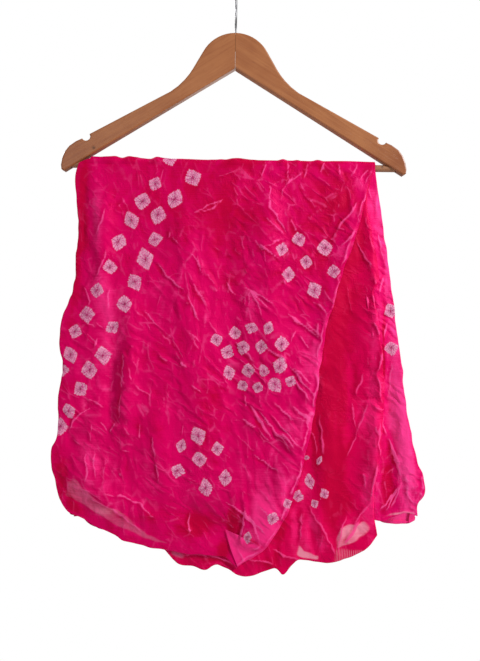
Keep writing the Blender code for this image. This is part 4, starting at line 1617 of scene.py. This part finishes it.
@dataclass(frozen=True)
class SilkFinish:
    """Crinkled silk, dyed hot pink, with tied-off pale dots and a fine slubbed weave.

    Fields:
        name: The material's name.
        pink: The dye.
        deep: The dye where it took most, also used for painted shade.
        shade: Painted shade, for the deepest folds and the shadows.
        bright: The dye where it took least, also used for painted highlight and sheen.
        crest: A worn crease's paler dye, with its painted highlight.
        veil: One thickness of the cloth, painted pale with the light that comes through it.
        lit_veil: One thickness of the cloth with light behind it.
        pale: The undyed silk of a dot.
        stain: The dye that ran into a dot.
        heart: The slit at a dot's middle.
        gloss_tint: The colour of its gloss.
        sheen_tint: The colour of its sheen.
    """

    name: str
    pink: Colour = (0.66, 0.0, 0.098)
    deep: Colour = (0.5, 0.0, 0.034)
    shade: Colour = (0.28, 0.0, 0.026)
    bright: Colour = (0.95, 0.025, 0.215)
    crest: Colour = (0.97, 0.085, 0.33)
    veil: Colour = (0.62, 0.085, 0.2)
    lit_veil: Colour = (0.85, 0.25, 0.36)
    pale: Colour = (0.82, 0.4, 0.56)
    stain: Colour = (0.66, 0.05, 0.24)
    heart: Colour = (0.62, 0.004, 0.12)
    gloss_tint: Colour = (1.0, 0.05, 0.3)
    sheen_tint: Colour = (1.0, 0.04, 0.28)

    def material(self) -> bpy.types.Material:
        """Return the silk's material.

        Returns:
            The material.
        """
        graph = Graph(self.name)
        cut = graph.attribute("cut")
        cut_x, cut_y, _ = graph.parts_of(cut)
        sheer, painted_light, striped = graph.parts_of(graph.attribute("tint"))
        crest, hollow, crackle = graph.parts_of(graph.attribute("crest"))
        slubs = graph.noise(graph.scaled(cut, (38.0, 760.0, 1.0)), 1.0, 3.0)
        threads = graph.noise(graph.scaled(cut, (1500.0, 260.0, 1.0)), 1.0, 2.0)
        # Painted sheen: bright patches, long down the falls, that stand for the satin's shine.
        painted_sheen = graph.noise(graph.scaled(cut, (36.0, 15.0, 1.0)), 1.0, 3.0, 0.8).step(0.55, 0.72)
        patches = graph.noise(cut, 26.0, 4.0, 0.4)
        crinkle = 1 - abs(graph.noise(cut, 95.0, 4.0, 0.6) * 2 - 1)
        crinkled = graph.noise(cut, 21.0, 2.0).step(0.42, 0.62)
        net, facets = self.facets(graph, cut, crackle, crinkled)
        # The tone mixes the dye's random unevenness with painted light and shade: the light patches, the
        # painted sheen, the hollows' painted shade and painted shading of the facets.
        tone = painted_light * 0.8 + (slubs - 0.5) * 0.6 + (threads - 0.5) * 0.3 + (patches - 0.5) * 1.0
        tone = tone + painted_sheen * 0.3 - hollow * 0.5 - (facets - 0.5) * crackle * 0.25
        # dyed carries painted light too: deep and shade paint shade where the tone is low, and bright
        # paints highlight where it is high.
        dyed = graph.mix((tone * -1).step(0.0, 0.75), self.pink, self.deep)
        dyed = graph.mix((tone * -1).step(0.9, 1.7), dyed, self.shade)
        dyed = graph.mix(tone.step(0.0, 0.75), dyed, self.bright)
        stripe = (cut_x * STRIPE_TURNS).wave().step(-0.2, 0.5) * striped
        # Where the painted light is high, one thickness is painted as lit from behind; in the hollows,
        # painted shade holds the veil back.
        veil = graph.mix(painted_light.step(0.0, 0.5), self.veil, self.lit_veil)
        thin = sheer + ((slubs - 0.5) * 0.8 + (patches - 0.5) * 1.5) * sheer - hollow * 0.4
        veiled = graph.mix(thin.step(0.05, 0.95), dyed, veil)
        veiled = graph.mix(stripe * 0.55, veiled, self.lit_veil)
        # Crests and the facets' net get the crest colour: partly worn dye, partly painted highlight.
        veiled = graph.mix(crest.step(0.36, 1.0) * 0.85 + net * 0.4, veiled, self.crest)
        inside, spot, pucker = self.dot(graph, cut)
        over_bar = cut_y.step(-0.008, 0.001) * (1 - cut_y.step(0.024, 0.033))
        height = slubs * 0.12 + threads * 0.05 + crinkle**4 * (crinkled * 0.3 + 0.08) + pucker * 0.6
        height = (height - facets * (crackle * 0.75 + 0.15)) * (1 - over_bar * 0.6)
        return graph.finish({
            "Base Color": graph.mix(inside, veiled, spot),
            "Roughness": 0.4 + slubs * 0.16 + inside * 0.12 + over_bar * 0.4,
            "Normal": graph.bump(height),
            "Specular IOR Level": 0.34,
            "Specular Tint": self.gloss_tint,
            "Sheen Weight": 0.06,
            "Sheen Roughness": 0.4,
            "Sheen Tint": self.sheen_tint,
        })

    def facets(
        self, graph: Graph, cut: bpy.types.NodeSocket, crackle: Signal, crinkled: Signal
    ) -> tuple[Signal, Signal]:
        """Return the net of the fine facets' edges, painted as worn crests with highlight, and how far
        each place is inside one.

        Args:
            graph: The material's nodes.
            cut: The place on the cut cloth.
            crackle: How finely crumpled the cloth is.
            crinkled: Where it is crinkled most.

        Returns:
            The net and the place inside its facet.
        """
        wander = graph.add("ShaderNodeTexNoise", {}, {"Vector": cut, "Scale": 60.0, "Detail": 2.0})
        bent = graph.vector("ADD", cut, graph.scaled(wander.outputs["Color"], (0.006, 0.006, 0.0)))
        upright = graph.facets(bent, 82.0, 46.0)
        slanting = graph.facets(bent, 40.0, 66.0)
        broken = graph.noise(cut, 75.0, 2.0).step(0.46, 0.58) * crackle
        turned = graph.noise(cut, 13.0, 1.0).step(0.42, 0.58)
        net = (1 - upright.step(0.0, 0.07)) * (1 - turned) + (1 - slanting.step(0.0, 0.07)) * turned
        inside = upright.step(0.0, 0.4) * (1 - turned) + slanting.step(0.0, 0.4) * turned
        return net * broken * (0.4 + crinkled * 0.6), inside

    def dot(self, graph: Graph, cut: bpy.types.NodeSocket) -> tuple[Signal, bpy.types.NodeSocket, Signal]:
        """Return the mask of the dots, their colour and the height of their puckers.

        Args:
            graph: The material's nodes.
            cut: The place on the cut cloth.

        Returns:
            The mask, the colour and the height.
        """
        x, y, seed = graph.parts_of(graph.attribute("dots"))
        flat = graph.add("ShaderNodeCombineXYZ", {}, {0: x, 1: y}).outputs[0]
        rays = graph.scaled(graph.vector("NORMALIZE", flat), (7.0, 7.0, 7.0))
        about = graph.add("ShaderNodeCombineXYZ", {}, {2: seed * 31.0}).outputs[0]
        streaks = graph.noise(graph.vector("ADD", rays, about), 1.0, 2.0)
        grain = graph.noise(cut, 620.0, 2.0)
        around = abs(x) ** 1.24 + abs(y) ** 1.24
        ragged = around + (streaks - 0.5) * 0.3 + (grain - 0.5) * 0.34
        inside = (1 - ragged.step(0.86, 1.06)) * seed.step(0.45, 0.55)
        rings = (around * 21.0 + streaks * 9.0 + grain * 4.0).wave() * 0.5 + 0.5
        stained = rings * 0.3 + (streaks - 0.48).at_least(0.0) * 3.6 + (grain - 0.48).at_least(0.0) * 3.2
        stained = stained + (1 - around.step(0.1, 0.5)) * 0.18
        pale = graph.mix(stained, self.pale, self.stain)
        slit = abs(x + y * 0.25) * 1.9 + abs(y) * 0.62
        heart = 1 - (slit + (streaks - 0.5) * 0.5 + (grain - 0.5) * 0.4).step(0.08, 0.24)
        pucker = (1 - around.step(0.0, 1.5)) * seed.step(0.45, 0.55) * ((streaks - 0.5) * 3.0 + 0.5)
        return inside, graph.mix(heart * 0.8, pale, self.heart), pucker


@dataclass(frozen=True)
class WoodFinish:
    """Wood with its grain along the piece and one dark knot.

    Fields:
        name: The material's name.
        pale: The pale wood.
        dark: The dark grain.
        turn: How far the grain is turned about Y, in degrees.
        mark: Where the knot sits, as (x, z) in mm.
        mark_size: How wide the knot is, in mm.
        roughness: How dull the face is.
    """

    name: str
    pale: Colour
    dark: Colour
    turn: float
    mark: tuple[float, float]
    mark_size: float
    roughness: float = 0.34

    def material(self) -> bpy.types.Material:
        """Return the wood's material.

        Returns:
            The material.
        """
        graph = Graph(self.name)
        place = graph.place()
        turned = graph.turned(place, 1, self.turn)
        bands = graph.noise(graph.scaled(turned, (7.0, 60.0, 120.0)), 1.0, 4.0, 1.2)
        grain = graph.noise(graph.scaled(turned, (24.0, 420.0, 520.0)), 1.0, 3.0, 0.3)
        pores = graph.noise(graph.scaled(turned, (110.0, 1500.0, 1900.0)), 1.0, 2.0)
        x, _, z = graph.parts_of(place)
        away = ((x - self.mark[0] * MM) ** 2.0 + (z - self.mark[1] * MM) ** 2.0) ** 0.5
        knot = 1 - (away * 1000.0 + bands * 3.0).step(1.0, self.mark_size + 2.0)
        mottle = graph.noise(place, 30.0, 3.0)
        tone = (bands - 0.5) * 0.8 + (grain - 0.5) * 0.6 + 0.52 - pores.step(0.62, 0.72) * 0.22
        tone = tone + (mottle - 0.5) * 0.6 - abs(x).step(0.15, 0.22) * 0.3
        middle = tuple(0.45 * dark + 0.55 * pale for dark, pale in zip(self.dark, self.pale))
        colour = graph.ramp(tone, ((0.05, self.dark), (0.5, middle), (0.92, self.pale)))
        return graph.finish({
            "Base Color": graph.mix(knot * 0.85, colour, tuple(KNOT_SHADE * part for part in self.dark)),
            "Roughness": self.roughness + grain * 0.14,
            "Normal": graph.bump(grain * 0.05 - pores.step(0.62, 0.74) * 0.05),
            "Coat Weight": 0.06,
            "Coat Roughness": 0.25,
        })


@dataclass(frozen=True)
class SteelFinish:
    """Drawn wire, a little worn.

    Fields:
        name: The material's name.
        colour: The bright steel.
        worn: The steel where it is worn.
    """

    name: str
    colour: Colour = (0.27, 0.27, 0.28)
    worn: Colour = (0.2, 0.19, 0.18)

    def material(self) -> bpy.types.Material:
        """Return the steel's material.

        Returns:
            The material.
        """
        graph = Graph(self.name)
        place = graph.place()
        drawn = graph.noise(graph.scaled(place, (2200.0, 260.0, 260.0)), 1.0, 3.0)
        worn = graph.noise(place, 90.0, 3.0)
        return graph.finish({
            "Base Color": graph.mix(worn.step(0.35, 0.75) * 0.5, self.colour, self.worn),
            "Roughness": 0.42 + drawn * 0.16 + worn * 0.08,
            "Metallic": 1.0,
            "Normal": graph.bump(drawn * 0.02),
        })


@dataclass
class Hanger:
    """The hanger's arms, bar and hook, which keep their solids and get their finishes.

    Fields:
        pale_arm: The arms' pale wood.
        dark_arm: The arms' dark grain.
        pale_bar: The bar's pale wood.
        dark_bar: The bar's dark grain.
    """

    pale_arm: Colour = (0.44, 0.165, 0.056)
    dark_arm: Colour = (0.27, 0.075, 0.021)
    pale_bar: Colour = (0.5, 0.25, 0.13)
    dark_bar: Colour = (0.28, 0.11, 0.045)

    def dress(self) -> None:
        """Give every node of the hanger its finish."""
        arm, bar = (self.pale_arm, self.dark_arm), (self.pale_bar, self.dark_bar)
        finishes = {
            "hanger_arm_left": WoodFinish(
                "left_arm_beech", *arm, turn=ARM_SLOPE, mark=(-179.6, -202.6), mark_size=3.0,
            ),
            "hanger_arm_right": WoodFinish(
                "right_arm_beech", *arm, turn=-ARM_SLOPE, mark=(120.0, -150.0), mark_size=1.5,
            ),
            "trouser_bar": WoodFinish(
                "bar_wood", *bar, turn=0.0, mark=(190.6, -221.4), mark_size=2.5, roughness=0.5,
            ),
            "hanger_hook": SteelFinish("hook_steel"),
        }
        for node, finish in finishes.items():
            made = finish.material()
            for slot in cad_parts[node].material_slots:
                slot.material = made
            LOG.info("%s: %s", node, made.name)


@dataclass
class TurnedCorner:
    """The tip of the outer stretch, which is turned up over its front.

    Fields:
        name: The piece's name.
        corners: Its four corners as (across, drop): top left, top right, foot left, foot right.
        lift: How far its free corner stands off, in mm.
        steps: How many faces it has each way.
    """

    name: str = "dupatta_turned_corner"
    corners: tuple = ((-4, 463), (28, 474), (12, 508), (44, 486))
    lift: float = 2.2
    steps: int = 26

    def build(self, finish: bpy.types.Material, panel: Panel, layer: int) -> bpy.types.Object:
        """Build the corner on the panel that carries it.

        Args:
            finish: The silk.
            panel: The panel under it.
            layer: The panel's layer.

        Returns:
            The new piece.
        """
        steps = np.linspace(0, 1, self.steps + 1)
        u, v = np.meshgrid(steps, steps)
        top_left, top_right, foot_left, foot_right = (
            np.array(corner, float)[:, None, None] for corner in self.corners
        )
        top = top_left * (1 - u) + top_right * u
        foot = foot_left * (1 - u) + foot_right * u
        place = top * v + foot * (1 - v)
        across, drop = place
        across = across + 2.5 * np.sin(v * math.pi) * (u - 0.5)
        lift, crest, hollow = panel.relief.fine(across, drop)
        under = panel.relief.depth(layer, across, drop, lift)
        swirl = 0.5 * np.sin(9 * u + 5 * v) + 0.35 * np.sin(16 * v - 7 * u)
        depth = under + 0.9 + self.lift * ease(v * 1.3) * (0.4 + 0.6 * u) + swirl * ease(v * 2)
        parts = {
            "points": np.stack([across, -depth, BAR_Z - drop], axis=-1),
            "cut": np.stack([across + 300, drop, np.full_like(across, 5.0)], axis=-1),
            "dots": panel.motifs.local(across, drop),
            # The corner is painted with light all over, most along its upper edge, as a highlit flap.
            "tint": np.stack([0 * u, 0.9 + 0.9 * ease(v), 0 * u], axis=-1),
            "crest": np.stack([crest, hollow, 0.6 + 0 * crest], axis=-1),
        }
        piece = grid_piece(self.name, parts, finish)
        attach(piece, BODY)
        log_piece(piece)
        return piece


def outer_stretch() -> Stretch:
    """Return the stretch in front, with the slanting right edge.

    Returns:
        The stretch.
    """
    hem_line = (
        (-208, 424), (-198, 428), (-182, 437), (-158, 451), (-134, 464), (-97, 479), (-74, 484),
    )
    veil_line = (
        (-208, 404), (-194, 398), (-182, 412), (-158, 428), (-126, 446), (-109, 464), (-74, 480),
    )
    under_hem = tuple((across, drop + 14) for across, drop in hem_line)
    bands = (Band(veil_line, hem_line, 0.6, 0.0), Band(hem_line, under_hem, 0.0, -0.3))
    front = Panel(
        Side.FRONT, OUTER_FRONT, rows=272,
        relief=Relief(
            FRONT_FOLDS, OUTER_FRONT_CREASES + beside(OUTER_FRONT.right, CREASE_AT_EDGE),
            OUTER_FRONT_CRINKLES, crumple_height=1.0, crumple_cell=13.0, outward=4.0, seed=1,
            soft=OUTER_SOFT_FOLDS, swell=1.7, at_bar=0.6,
        ),
        motifs=front_outer_motifs(), painted_lights=FRONT_PAINTED_LIGHT, bands=bands,
    )
    back = Panel(
        Side.BACK, OUTER_BACK, rows=178,
        relief=Relief(
            BACK_FOLDS, BACK_CREASES + behind(OUTER_FRONT_CREASES), BACK_CRINKLES,
            crumple_height=1.0, crumple_cell=14.0, outward=4.0, seed=2, swell=1.7, at_bar=0.6,
        ),
        motifs=back_motifs(), painted_lights=BACK_PAINTED_LIGHT,
    )
    return Stretch(
        "dupatta_outer_sheet", "dupatta_outer_stretch", layer=2, columns=192, crowd=0.0,
        arm_relief=15.0, front=front, back=back, flat=(0.43, 1.0), area=0.39, edge_roll=1.3,
        hem_turn=12.0,
    )


def middle_stretch() -> Stretch:
    """Return the stretch with the crinkled ridge and the lowest hem.

    Returns:
        The stretch.
    """
    bands = (
        Band(((84, 478), (100, 487), (118, 497)), ((84, 496), (100, 500), (118, 503)), 0.85, 0.5),
        Band(
            ((132, 484), (143, 456), (180, 450)), ((132, 491), (144, 486), (162, 476), (182, 460)),
            0.85, 0.6,
        ),
        Band(((-76, 490), (-54, 492)), ((-76, 497), (-54, 502)), 0.85, 0.0),
    )
    front = Panel(
        Side.FRONT, MIDDLE_FRONT, rows=280,
        relief=Relief(
            FRONT_FOLDS, MIDDLE_FRONT_CREASES, MIDDLE_FRONT_CRINKLES, crumple_height=0.6,
            crumple_cell=22.0, outward=1.4, seed=3, cover=OUTER_FRONT.right,
        ),
        motifs=front_middle_motifs(), painted_lights=MIDDLE_PAINTED_LIGHT, bands=bands, stripes=(134.0, 176.0, 486.0),
    )
    back = Panel(
        Side.BACK, MIDDLE_BACK, rows=90,
        relief=Relief(BACK_FOLDS, (), BACK_CRINKLES, crumple_height=0.5, crumple_cell=16.0, seed=4),
        motifs=Motifs(10),
    )
    return Stretch(
        "dupatta_middle_sheet", "dupatta_middle_stretch", layer=1, columns=170, crowd=0.35,
        arm_relief=0.0, front=front, back=back, flat=(0.36, 1.0), area=0.33, edge_roll=1.5,
        hem_turn=4.0,
    )


def inner_stretch() -> Stretch:
    """Return the strip at the right.

    Returns:
        The stretch.
    """
    hem = Band(
        ((186, 446), (207, 441), (222, 436), (239, 439)),
        ((186, 449), (207, 446), (222, 441), (239, 444)), 0.9, 0.6,
    )
    front = Panel(
        Side.FRONT, INNER_FRONT, rows=260,
        relief=Relief(
            FRONT_FOLDS, INNER_FRONT_CREASES, INNER_FRONT_CRINKLES, crumple_cell=13.0, outward=1.4,
            seed=5, cover=MIDDLE_FRONT.right,
        ),
        motifs=front_inner_motifs(), painted_lights=INNER_PAINTED_LIGHT, bands=(hem,),
    )
    back = Panel(
        Side.BACK, INNER_BACK, rows=130,
        relief=Relief(
            BACK_FOLDS, INNER_FRONT_CREASES, BACK_CRINKLES, crumple_height=0.7, crumple_cell=14.0, seed=6,
        ),
        # A patch of painted light near the hem, over the inside of the back layer, which lies in shade.
        motifs=back_strip_motifs(), painted_lights=(PaintedLight(222, 452, 22, 9, 1.6),),
    )
    return Stretch(
        "dupatta_inner_sheet", "dupatta_inner_stretch", layer=0, columns=80, crowd=0.3,
        arm_relief=0.0, front=front, back=back, flat=(0.12, 0.93), area=0.09, edge_roll=1.3,
        hem_turn=4.0,
    )


@dataclass
class Dupatta:
    """The whole cloth: three stretches and the corner that is turned up.

    Fields:
        finish: The silk of the outer stretch and its corner.
        under: The silk of the middle stretch, its colours painted brighter for the light behind it.
        strip: The silk of the inner stretch, painted brighter still for the most light behind it.
    """

    finish: SilkFinish = SilkFinish("dyed_silk")
    # Brighter copies of the one silk: their colours are painted with the light that comes from behind.
    under: SilkFinish = SilkFinish(
        "backlit_silk_under", pink=(0.67, 0.0, 0.072), bright=(0.97, 0.012, 0.165), crest=(0.98, 0.06, 0.27),
    )
    strip: SilkFinish = SilkFinish(
        "backlit_silk_strip", pink=(0.75, 0.002, 0.125), bright=(0.98, 0.045, 0.27),
    )

    def build(self) -> None:
        """Build every piece of the cloth."""
        silk = self.finish.material()
        outer = outer_stretch()
        outer.build(silk)
        middle_stretch().build(self.under.material())
        inner_stretch().build(self.strip.material())
        TurnedCorner().build(silk, outer.front, outer.layer)


LIGHTS_AIM = (0.0, 0.0, -0.45)
LIGHTS = (
    ("key", (1.5, -1.0, 0.6), 0.5, 41.0),
    ("fill", (-0.7, -1.9, -0.1), 1.2, 7.0),
    ("rear", (-1.5, 1.05, 0.6), 0.5, 41.0),
    ("rear_fill", (0.7, 1.9, -0.1), 1.2, 7.0),
)


@dataclass
class Studio:
    """The camera, the light and the pale floor.

    Fields:
        eye: Where the camera is, in metres.
        roll: Its roll, in degrees.
        picture_height: The picture's height, in pixels.
        focal_pixels: The focal length, in pixels.
        sensor: The sensor's height, in mm.
        floor_z: How high the floor is, in metres.
        room_light: How bright the white room's light is.
    """

    eye: tuple[float, float, float] = (0.011, -0.95, -0.434)
    roll: float = -0.8
    picture_height: int = 661
    focal_pixels: float = 736.4
    sensor: float = 24.0
    floor_z: float = -1.9
    room_light: float = 0.26

    def camera(self) -> None:
        """Set up the camera at the photograph's view."""
        lens = bpy.data.cameras.new("camera")
        lens.sensor_fit = "VERTICAL"
        lens.sensor_height = self.sensor
        lens.lens = self.sensor * self.focal_pixels / self.picture_height
        lens.clip_start = 0.01
        seen = bpy.data.objects.new("camera", lens)
        seen.location = self.eye
        seen.rotation_euler = (math.radians(90), math.radians(self.roll), 0.0)
        bpy.context.scene.collection.objects.link(seen)
        bpy.context.scene.camera = seen

    def softbox(self, name: str, place: tuple, aim: tuple, size: float, power: float) -> None:
        """Hang one soft light.

        Args:
            name: Its name.
            place: Where it is, in metres.
            aim: What it points at.
            size: Its width, in metres.
            power: Its power, in watts.
        """
        light = bpy.data.lights.new(name, "AREA")
        light.shape = "DISK"
        light.size = size
        light.energy = power
        hung = bpy.data.objects.new(name, light)
        hung.location = place
        way = np.array(place) - np.array(aim)
        flat = math.hypot(way[0], way[1])
        hung.rotation_euler = (math.atan2(flat, way[2]), 0.0, math.atan2(way[1], way[0]) + math.pi / 2)
        bpy.context.scene.collection.objects.link(hung)

    def sky(self) -> None:
        """Make a white room that fills the shadows softly."""
        world = bpy.data.worlds.new("white_room")
        bpy.context.scene.world = world
        world.use_nodes = True
        tree = world.node_tree
        tree.nodes.clear()
        lit, seen = (tree.nodes.new("ShaderNodeBackground") for _ in range(2))
        for shown, strength in ((lit, self.room_light), (seen, 1.0)):
            shown.inputs["Color"].default_value = (1.0, 1.0, 1.0, 1.0)
            shown.inputs["Strength"].default_value = strength
        path = tree.nodes.new("ShaderNodeLightPath")
        chosen = tree.nodes.new("ShaderNodeMixShader")
        out = tree.nodes.new("ShaderNodeOutputWorld")
        for number, socket in enumerate((path.outputs["Is Camera Ray"], lit.outputs[0], seen.outputs[0])):
            tree.links.new(socket, chosen.inputs[number])
        tree.links.new(chosen.outputs[0], out.inputs["Surface"])

    def floor(self) -> None:
        """Lay a pale floor well under the part."""
        bpy.ops.object.select_all(action="DESELECT")
        bpy.ops.mesh.primitive_circle_add(
            vertices=96, radius=2.0, fill_type="NGON", location=(0.0, 0.0, self.floor_z)
        )
        laid = bpy.context.object
        laid.name = "floor"
        graph = Graph("pale_floor")
        clouds = graph.noise(graph.place(), 9.0, 3.0)
        colour = graph.mix(clouds, (0.82, 0.82, 0.81), (0.86, 0.86, 0.86))
        laid.data.materials.append(graph.finish({"Base Color": colour, "Roughness": 0.8}))

    def build(self) -> None:
        """Set up all of the studio."""
        self.camera()
        self.sky()
        for name, place, size, power in LIGHTS:
            self.softbox(name, place, LIGHTS_AIM, size, power)
        self.floor()
        bpy.context.scene.view_settings.view_transform = "Standard"
        bpy.context.scene.view_settings.look = "None"


def corners(box: tuple) -> list[list[float]]:
    """Return a box's two corners as plain lists."""
    return [[float(part) for part in corner] for corner in box]


def main() -> None:
    """Build the studio, dress the hanger and build the cloth."""
    logging.basicConfig(level=logging.INFO, format="%(name)s: %(message)s")
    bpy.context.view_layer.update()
    Studio().build()
    Hanger().dress()
    Dupatta().build()
    bpy.context.view_layer.update()
    LOG.info("sizes written")


if __name__ == "__main__":
    main()
